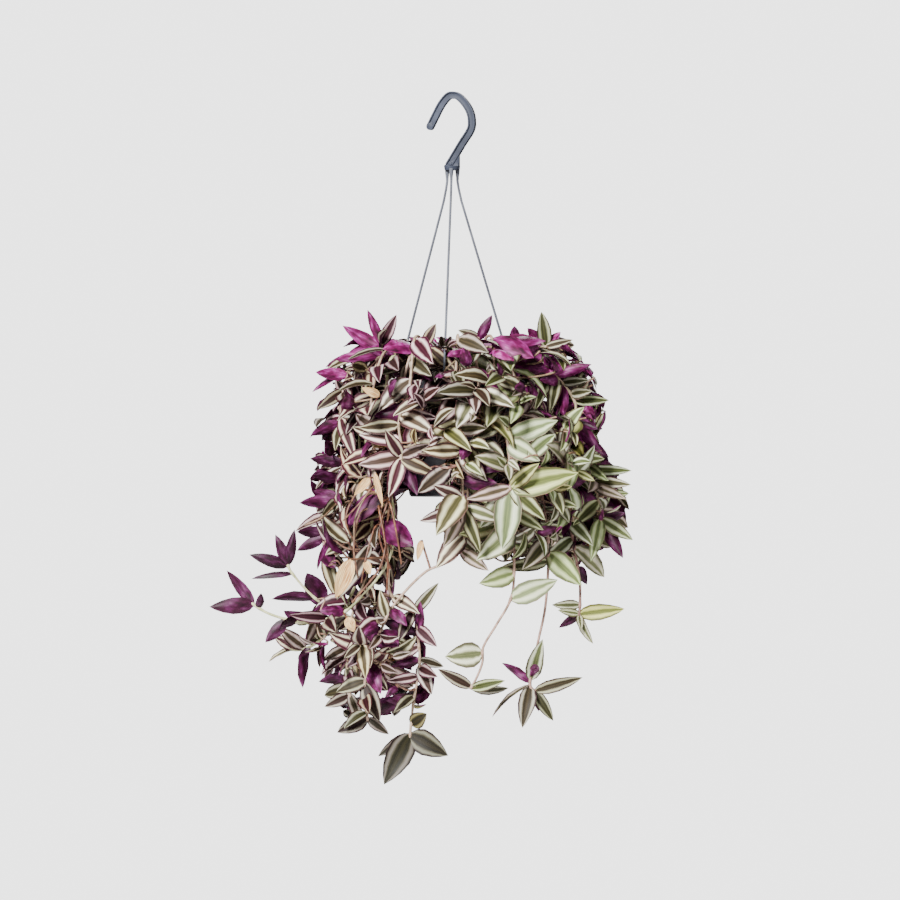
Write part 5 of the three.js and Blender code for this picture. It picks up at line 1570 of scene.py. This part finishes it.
def settle(index, planned, chosen_places):
    """Gives a chosen leaf its planned place, or one just in front, unless another chosen leaf is there."""
    before = crowd["centres"][index]
    crowd["centres"][index] = FAR_AWAY
    for forward in FORWARD_STEPS:
        blade = {**planned, "tip": planned["tip"] + FRONT * forward}
        shape = tree_of(blade)
        pairs = {i: len(crowd["trees"][i].overlap(shape[2])) for i in near(shape)}
        blocked = any(i in chosen_places and count > TOUCHING_PAIRS for i, count in pairs.items())
        if blocked or shape[2].overlap(OBSTACLES[0]) or not in_the_box(bent_places(blade, PLAIN_FOLD)):
            continue
        for i in {i for i, count in pairs.items() if count} - chosen_places:
            crowd["centres"][i] = FAR_AWAY
        for key, value in zip(crowd, shape):
            crowd[key][index] = value
        return blade
    crowd["centres"][index] = before
    return None


for stem in stems:
    stem["line"] = smooth_line(stem["places"], STEM_SPAN_POINTS)
    stem["shoots"] = []
    stem["first"] = len(crowd["centres"])
    for blade in stem["blades"]:
        keep(tree_of(blade))

chosen_places = {stem["first"] + i for stem in stems for i in range(stem["chosen"])}
settled = moved = 0
for number, stem in enumerate(stems):
    roll = dice(TURN_SEED + number)
    for i, blade in enumerate(stem["blades"]):
        chosen = i < stem["chosen"]
        share = underside_share(blade)
        if chosen and np.linalg.norm(blade["tip"] - blade["planned"]["tip"]) > TIP_TOLERANCE:
            moved += 1
            found = settle(stem["first"] + i, blade["planned"], chosen_places)
            if found:
                settled += 1
                blade = stem["blades"][i] = found
        if roll(0, 1) < share and (not chosen or share == 1.0) and facing(blade) > 0:
            stem["blades"][i] = turned_over(blade)
for stem in stems:
    blades = enumerate(stem["blades"], stem["first"])
    stem["blades"] = [blade for index, blade in blades if crowd["centres"][index] is not FAR_AWAY]
print(moved, "chosen leaves stand turned in the frame, and", settled, "of them take their planned place")
print(sum(len(stem["blades"]) for stem in stems), "leaves of the frame stay")

# %% [markdown]
# Where the long bunch leaves the mound, old side shoots have lost their leaves. They are bare and brown,
# and a few dried leaves still hang from them. Each has a route in the plan, and starts on the nearest
# stem. Seeded draws add a few more, so that they hang as a loose bundle.

# %% Old bare shoots and dried leaves
# Each has a route, and its leaves as right, back, down, width and roll.
OLD_SHOOTS = [
    ([(-77, -98, 387), (-90, -104, 403), (-107, -98, 421)], []),
    ([(-72, -96, 408), (-67, -104, 434), (-63, -107, 462), (-64, -102, 489)], []),
    ([(-65, -106, 446), (-72, -110, 469), (-98, -106, 501)], []),
    ([(-76, -98, 428), (-85, -106, 460), (-89, -100, 482)], [(-80, -110, 474, 8, 0)]),
    ([(-128, -62, 418), (-146, -60, 426)], []),
    ([(-76, -102, 374)], [(-68, -106, 407, 6, 0)]),
    ([(-81, -100, 379)], [(-96, -104, 396, 9, 0)]),
    ([(-99, -106, 459)], [(-114, -104, 497, 17, 0)]),
    ([(-103, -104, 516)], [(-96, -106, 530, 11, 0)]),
    ([(-71, -84, 298)], [(-89, -88, 290, 9, 0)]),
    ([(-30, -98, 440)], [(-34, -102, 460, 7, 0)]),
]
OLD_STEM_WIDTH = 3.6
OLD_SPAN_POINTS = 6
BUNDLE_COUNT = 7
BUNDLE_SEED = 606
# Where a drawn shoot starts, how far down it reaches, and how far its middle and its end sway.
BUNDLE_RIGHT, BUNDLE_DOWN, BUNDLE_BACK = (-100, -52), (372, 415), (-100, -72)
BUNDLE_REACH, MIDDLE_SWAY, END_SWAY = (45, 95), (-14, 14), (-24, 24)


def free_part(line):
    """Every second point of a stem's line, without the part near its root."""
    return line[24 if len(line) > 48 else 14 :: 2]


stem_samples = [(stem, sample) for stem in stems for sample in free_part(stem["line"])]
stem_tree = search_tree([sample for _, sample in stem_samples])


def nearest_start(spot):
    """The stem, and the point on it, that is nearest to a spot."""
    _, index, distance = stem_tree.find(spot)
    return *stem_samples[index], distance


def ribbons(line, width):
    """Flat strips along a line, which stand for it where leaves must keep clear of it."""
    return [front_leaf(np.array(a), np.array(b), width, 0) for a, b in zip(line[:-2:2], line[2::2])]


def bundle_shoot(roll):
    """One more bare shoot of the brown bundle under the pot's left edge."""
    right, down, back = roll(*BUNDLE_RIGHT), roll(*BUNDLE_DOWN), roll(*BUNDLE_BACK)
    reach = roll(*BUNDLE_REACH)
    middle = (right + roll(*MIDDLE_SWAY), back - 6, down + reach / 2)
    return [(right, back, down), middle, (right + roll(*END_SWAY), back - 3, down + reach)], []


def add_old_shoot(route, leaves):
    """Adds a bare shoot to the nearest stem, and gives the strips and leaves that it takes room with."""
    route = [place(*p) for p in route]
    stem, start, _ = nearest_start(route[0])
    line = smooth_line([start, *route], OLD_SPAN_POINTS)
    base = route[-1] if len(route) < 3 else route[-2]
    dried = [
        {**front_leaf(base, place(right, back, down), width * STEP, roll), "old": True}
        for right, back, down, width, roll in leaves
    ]
    stem["shoots"].append((line, dried, True))
    return [*ribbons(line, OLD_STEM_WIDTH), *dried]


roll = dice(BUNDLE_SEED)
OLD_SHOOTS += [bundle_shoot(roll) for _ in range(BUNDLE_COUNT)]
old_parts = [part for shoot in OLD_SHOOTS for part in add_old_shoot(*shoot)]
for part in old_parts:
    keep(tree_of(part))
print(len(OLD_SHOOTS), "old shoots, with", sum("old" in part for part in old_parts), "dried leaves")

# %% [markdown]
# A new leaf must not hide the leaves that were chosen for the front, so a ray from each of its corners
# looks for them behind it.

# %% Keep the chosen leaves in view
HIDING_POINTS = sorted({corner for face in CHECKED_FACES for corner in face})
HIDING_REACH = 110.0
HIDING_MOST = 2
INSIDE_SHARE = 0.75


def tree_of_all(blades):
    """Many blades as one search tree."""
    places, faces = [], []
    for blade in blades:
        faces += [tuple(len(places) + corner for corner in face) for face in CHECKED_FACES]
        places += bent_places(blade, PLAIN_FOLD).tolist()
    return BVHTree.FromPolygons(places, faces)


chosen_leaves = [blade for stem in stems for blade in stem["blades"][: stem["chosen"]]]
shown_leaves = tree_of_all(chosen_leaves + old_parts)


def spoils_the_front(blade):
    """Whether a leaf would leave the outline, or hang close in front of a leaf that has a chosen place."""
    places = bent_places(blade, PLAIN_FOLD)[HIDING_POINTS]
    if not in_outline(blade["tip"][None])[0] or np.mean(in_outline(places)) < INSIDE_SHARE:
        return True
    if not in_the_box(places) or np.any(in_clear_view(places)):
        return True
    hits = sum(shown_leaves.ray_cast(point, -FRONT, HIDING_REACH)[0] is not None for point in places)
    return hits > HIDING_MOST


print(len(chosen_leaves), "leaves stay in view")

# %% [markdown]
# A free spot is drawn at random on the mound, on the long bunch that hangs at its left, or over the
# soil. Where leaves are already close together, nothing is added, so the plant fills evenly.

# %% Draw free spots
MOUND_CENTRE = 18.0
MOUND_STRETCH = 1.1
MOUND_HEIGHTS = (-505, -250)
MOUND_SHARES = (0.6, 1.0)
# Height and radius.
MOUND_RADII = [
    (-505, 105), (-480, 138), (-440, 150), (-400, 152), (-350, 148), (-300, 138), (-275, 118), (-255, 80),
]
BUNCH_LINE = [
    (-96, -64, -440), (-92, -78, -500), (-92, -84, -560), (-84, -88, -620), (-74, -92, -680), (-62, -92, -715),
]
BUNCH_RADII = (48, 58, 62, 56, 46, 30)
BUNCH_FLATNESS = np.array([1.0, 0.75, 1.0])
CROWN_RADIUS = 72.0
CROWN_HEIGHTS = (-305, -268)


def any_way_out(roll):
    """A level direction away from an upright axis."""
    direction = math.radians(roll(0, 360))
    return np.array([math.sin(direction), -math.cos(direction), 0.0])


def mound_spot(roll):
    """A place near the mound's surface, and the way out of the mound there."""
    height = roll(*MOUND_HEIGHTS)
    radius = np.interp(height, *zip(*MOUND_RADII)) * roll(*MOUND_SHARES)
    out = any_way_out(roll)
    spot = np.array([MOUND_CENTRE + radius * out[0] * MOUND_STRETCH, radius * out[1], height])
    lift = np.interp(height, (-480, -380, -300, -250), (-0.5, 0.0, 0.5, 1.2))
    return spot, unit(out + UP * lift)


def bunch_spot(roll):
    """A place round the bunch that hangs at the left, and the way out of it there."""
    at = roll(0, len(BUNCH_LINE) - 1.001)
    middle = stem_point([np.array(p, float) for p in BUNCH_LINE], at)
    radius = np.interp(at, range(len(BUNCH_RADII)), BUNCH_RADII) * math.sqrt(roll(0.1, 1.0))
    out = any_way_out(roll)
    return middle + out * radius * BUNCH_FLATNESS, unit(out - UP * 0.5)


def crown_spot(roll):
    """A place over the soil, and the way up and out of the mound there."""
    out = any_way_out(roll)
    share = math.sqrt(roll(0.02, 1.0))
    return out * CROWN_RADIUS * share + UP * roll(*CROWN_HEIGHTS), unit(out * share + UP)


def crowding(spot, radius):
    """How many leaves have their middle close to a place."""
    return int(np.sum(np.linalg.norm(np.array(crowd["centres"]) - spot, axis=1) < radius))


print("spots are drawn between", BUNCH_LINE[-1][2], "and", MOUND_HEIGHTS[1], "mm of height")

# %% [markdown]
# A shoot carries a rosette of leaves, small ones at its tip. They stand round it in two rows, droop a
# little and turn their striped side outwards. Each leaf tries a few turns, and is left out if none of
# them is free.

# %% Shape a rosette
# Distance from the shoot's tip, leaf length, and angle from the shoot.
ROSETTE = [(0, 27, 40), (3, 38, 54), (9, 46, 64), (17, 50, 74), (26, 52, 82)]
# A tilt that keeps the way across a shoot from vanishing.
TILT = np.array([0.31, 0.17, 0.23])
LEAF_DROOP = 0.12
# How much a leaf's upper side turns to the shoot's tip, outwards and up.
TO_TIP, OUTWARDS, UPWARDS = 0.75, 0.7, 0.25
LEAF_ROLLS, LEAF_WIDTHS, LEAF_ARCHES = (-22, 22), (0.42, 0.56), (0.06, 0.14)
# Turn, lift and share of its size.
LEAF_SHIFTS = ((0, 0, 1), (14, 0, 1), (-14, 0, 1), (0, 16, 0.9), (24, 8, 0.85), (-24, -8, 0.8))


def shoot_leaf(point, axis, outward, spread, angle, length, roll):
    """One leaf of a rosette, turned round the shoot's axis."""
    reference = unit(np.cross(axis, unit(outward + TILT)))
    out = rotated(reference, axis, spread)
    angle = math.radians(angle)
    direction = unit(axis * math.cos(angle) + out * math.sin(angle) - UP * LEAF_DROOP)
    upper = axis * TO_TIP + outward * OUTWARDS + UP * UPWARDS
    upper = unit(upper - direction * upper.dot(direction))
    upper = rotated(upper, direction, roll(*LEAF_ROLLS))
    width = length * roll(*LEAF_WIDTHS)
    return leaf_at(point, point + direction * length, width, upper, roll(*LEAF_ARCHES))


def try_leaf(blade):
    """The leaf, a little turned or shorter if it has to be, or nothing."""
    for turn, lift, share in LEAF_SHIFTS:
        found = bent(blade, turn, lift, share)
        if in_pot(found["tip"]) or spoils_the_front(found):
            continue
        shape = tree_of(found)
        if is_free(shape):
            keep(shape)
            return found
    return None


print("a rosette has up to", len(ROSETTE), "leaves")

# %% [markdown]
# A side shoot starts on the nearest stem and ends in the free spot. Thousands of spots are tried, first
# on the mound and the bunch, then over the soil, and most of them turn out to be taken.

# %% Grow side shoots
SHOOT_REACH = (12, 85)
SHOOT_TRIALS = 2600
CROWN_TRIALS = 500
# Every fifth of the first spots is on the bunch.
BUNCH_EVERY = 5
CROWDED_WITHIN = 24.0
CROWDED_COUNT = 5
OLD_LEAF_SHARE = 0.03
SHOOT_SEED = 4242
# A shoot's line has this many points for each span, a straight end, and sags by a share of its length.
SPAN_POINTS = 4
STRAIGHT_END = 9
SHOOT_SAG = 0.06
# No leaf starts this close to the stem that carries the shoot.
BARE_START = 6
# How much the leaves of a rosette vary in their turn round the shoot, and in their length.
SPREAD_SWAY, LENGTH_SHARES = (-38, 38), (0.82, 1.08)


def grow_shoot(spot, outward, roll):
    """A side shoot with its rosette, if there is room for any of its leaves."""
    stem, start, distance = nearest_start(spot)
    if not SHOOT_REACH[0] < distance < SHOOT_REACH[1]:
        return 0
    axis = unit(unit(spot - start) * 0.5 + outward)
    bend = start + (spot - start) * 0.5 - UP * SHOOT_SAG * distance
    line = smooth_line([start, bend, spot - axis * STRAIGHT_END, spot], SPAN_POINTS)
    if not np.all(in_outline(np.array(line))) or np.any(in_clear_view(np.array(line))):
        return 0
    first_spread = roll(0, 360)
    blades = []
    for k, (back, length, angle) in enumerate(ROSETTE):
        if back > distance - BARE_START:
            continue
        point = spot - axis * back
        if back >= STRAIGHT_END:
            point = np.array(line[max(0, len(line) - 1 - round(back / distance * (3 * SPAN_POINTS)))])
        spread = first_spread + 180 * k + roll(*SPREAD_SWAY)
        blade = shoot_leaf(point, axis, outward, spread, angle, length * roll(*LENGTH_SHARES), roll)
        if roll(0, 1) < underside_share(blade):
            blade = turned_over(blade)
        found = try_leaf(blade)
        if found:
            blades.append({**found, "old": roll(0, 1) < OLD_LEAF_SHARE * (back > STRAIGHT_END)})
    if blades:
        stem["shoots"].append((line, blades, False))
    return len(blades)


roll = dice(SHOOT_SEED)
grown_leaves = 0
for trial in range(SHOOT_TRIALS + CROWN_TRIALS):
    draw_spot = bunch_spot if trial % BUNCH_EVERY == 0 else mound_spot
    spot, outward = draw_spot(roll) if trial < SHOOT_TRIALS else crown_spot(roll)
    if in_pot(spot) or not in_outline(spot[None])[0] or crowding(spot, CROWDED_WITHIN) >= CROWDED_COUNT:
        continue
    grown_leaves += grow_shoot(spot, outward, roll)
print("side shoots add", grown_leaves, "leaves on", sum(len(stem["shoots"]) for stem in stems), "shoots")

# %% [markdown]
# ## Stems and leaves as pieces
# The plant changes colour from place to place. Leaves at the right get more light and are greener, and
# the biggest are almost plain sage. Leaves at the top left are redder, and those at the tips of the long
# stems and along the top are darker. Brightness by place is painted light and shade: leaves at the right
# are painted brighter, and purple undersides are painted brightest along the top edge and darker lower
# down and at the far left.

# %% Tones by place
LARGE_WIDTH = 22.0


def leaf_tone(blade, roll):
    """How green and how pale a leaf is, with painted light and shade by place, and which pattern it has."""
    right, down = seen_at(blade)
    low = np.interp(down + 0.4 * max(right, 0), (560, 640), (0.0, 1.0))
    high = np.interp(down, (260, 340), (1.0, 0.0))
    green = np.interp(right, (-50, 60), (0.05, 0.75)) * np.interp(down, (250, 360), (0.5, 1.0))
    green = green * (1 - low) + 0.45 * low + roll(-0.25, 0.3)
    # Random paleness, darker low down and at the top, and brighter at the right: a painted light.
    pale_and_lit = roll(0.4, 1.0) * (1 - 0.82 * low) * (1 - 0.45 * high) + 0.2 * np.interp(right, (-20, 80), (0.0, 1.0))
    large = facing(blade) >= 0 and blade["width"] > LARGE_WIDTH
    if facing(blade) < 0:
        # Undersides are painted brightest along the top edge, where light falls, and darker lower down and at
        # the far left: a painted shade.
        pale_and_lit = roll(0.25, 1.3) * np.interp(down, (262, 300, 420, 500), (0.85, 0.48, 0.27, 0.36))
        pale_and_lit *= np.interp(right, (-150, -115), (0.32, 1.0))
    if large:
        pale_and_lit += 0.3 * (1 - low)
        green += 0.35 * np.interp(right, (0, 60), (0.0, 1.0))
    pattern = roll(0, 1)
    pattern = 0.55 + 0.45 * pattern if large else pattern
    return min(max(green, 0), 1), min(max(pale_and_lit, 0), 1), pattern


def copy_leaf(blade, roll):
    """A copy of the leaf, bent to its place, with its own tone."""
    piece = copied(leaf)
    places = bent_places(blade, roll(0.15, 0.5), roll(-0.5, 0.5), roll(0.2, 0.9), roll(0, 1)) * MM
    piece.data.vertices.foreach_set("co", places.ravel())
    tone = (*leaf_tone(blade, roll), 1.0)
    piece.data.attributes["tone"].data.foreach_set("color", np.tile(tone, len(LEAF_PLACES)))
    if blade.get("old"):
        piece.data.materials[0] = piece.data.materials[1] = dry_skin
    return piece


print("leaves wider than", LARGE_WIDTH, "mm are greener and plainer")

# %% [markdown]
# Each stem is a rod that swells at its joints, where leaves clasp it, and it carries its side shoots.
# The leaf is copied for each blade, and all that grows on one stem is joined into one piece, which
# stands for that stem's node.

# %% Make the pieces
STEM_RADIUS = 1.7
JOINT_SWELL = 0.6
JOINT_REACH = 3.5
STEM_TAPER = 0.82
BARE_SHARE = 0.82
SHOOT_SHARE = 0.68
STEM_SEED = 9000


def swelling(line, blades):
    """The stem's radius at each of its points: it swells where leaves start."""
    line = np.array(line)
    bases = np.array([blade["base"] for blade in blades] or [FAR_AWAY])
    nearest = np.min(np.linalg.norm(line[:, None] - bases[None], axis=2), axis=1)
    taper = np.linspace(1.0, STEM_TAPER, len(line))
    return taper * (STEM_RADIUS + JOINT_SWELL * np.exp(-((nearest / JOINT_REACH) ** 2)))


def skinned(piece, green, old=0.0):
    """Gives a stem its skin, and sets how green it looks and how dark: by age, or as a painted shade."""
    piece.data.attributes.new("tone", "FLOAT_COLOR", "POINT")
    tone = (green, old, 0.5, 1.0)
    piece.data.attributes["tone"].data.foreach_set("color", np.tile(tone, len(piece.data.vertices)))
    piece.data.materials.append(stem_skin)
    return piece


def on_line(blade, line):
    """Moves a leaf's base onto the smooth line of its stem."""
    line = np.array(line)
    return {**blade, "base": line[np.argmin(np.linalg.norm(line - blade["base"], axis=1))]}


def make_stem(number, stem):
    """The whole piece that grows on one stem."""
    roll = dice(STEM_SEED + number)
    blades = [on_line(blade, stem["line"]) for blade in stem["blades"]]
    green = 0.85 if stem["name"].startswith("twig_left") else roll(0.0, 0.35)
    made = [skinned(rod("stem", stem["line"], swelling(stem["line"], blades), 1), green)]
    for line, shoot_blades, bare in stem["shoots"]:
        radii = (BARE_SHARE if bare else SHOOT_SHARE) * swelling(line, shoot_blades)
        # Bare shoots are old; leafy shoots inside the mound are darkened too, a painted shade.
        old = roll(0.6, 1.0) if bare else roll(0.3, 0.7)
        made.append(skinned(rod("shoot", line, radii, 0), roll(0.0, 0.4), old))
        blades += shoot_blades
    made += [copy_leaf(blade, roll) for blade in blades]
    piece = joined(made, "plant_" + stem["name"])
    hand_over(piece, "plant", stem["name"])


for number, stem in enumerate(stems):
    make_stem(number, stem)
bpy.data.objects.remove(leaf)
print(len(stems), "plant pieces made")

# %% [markdown]
# ## The size
# The dressed model may stand only a little proud of the frame's box.

# %% The two boxes
boxes = {"cad": [list(corner) for corner in cad_box], "visual": [list(corner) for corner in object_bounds()]}
print("boxes in millimetres", [[round(v / MM, 1) for v in corner] for box in boxes.values() for corner in box])
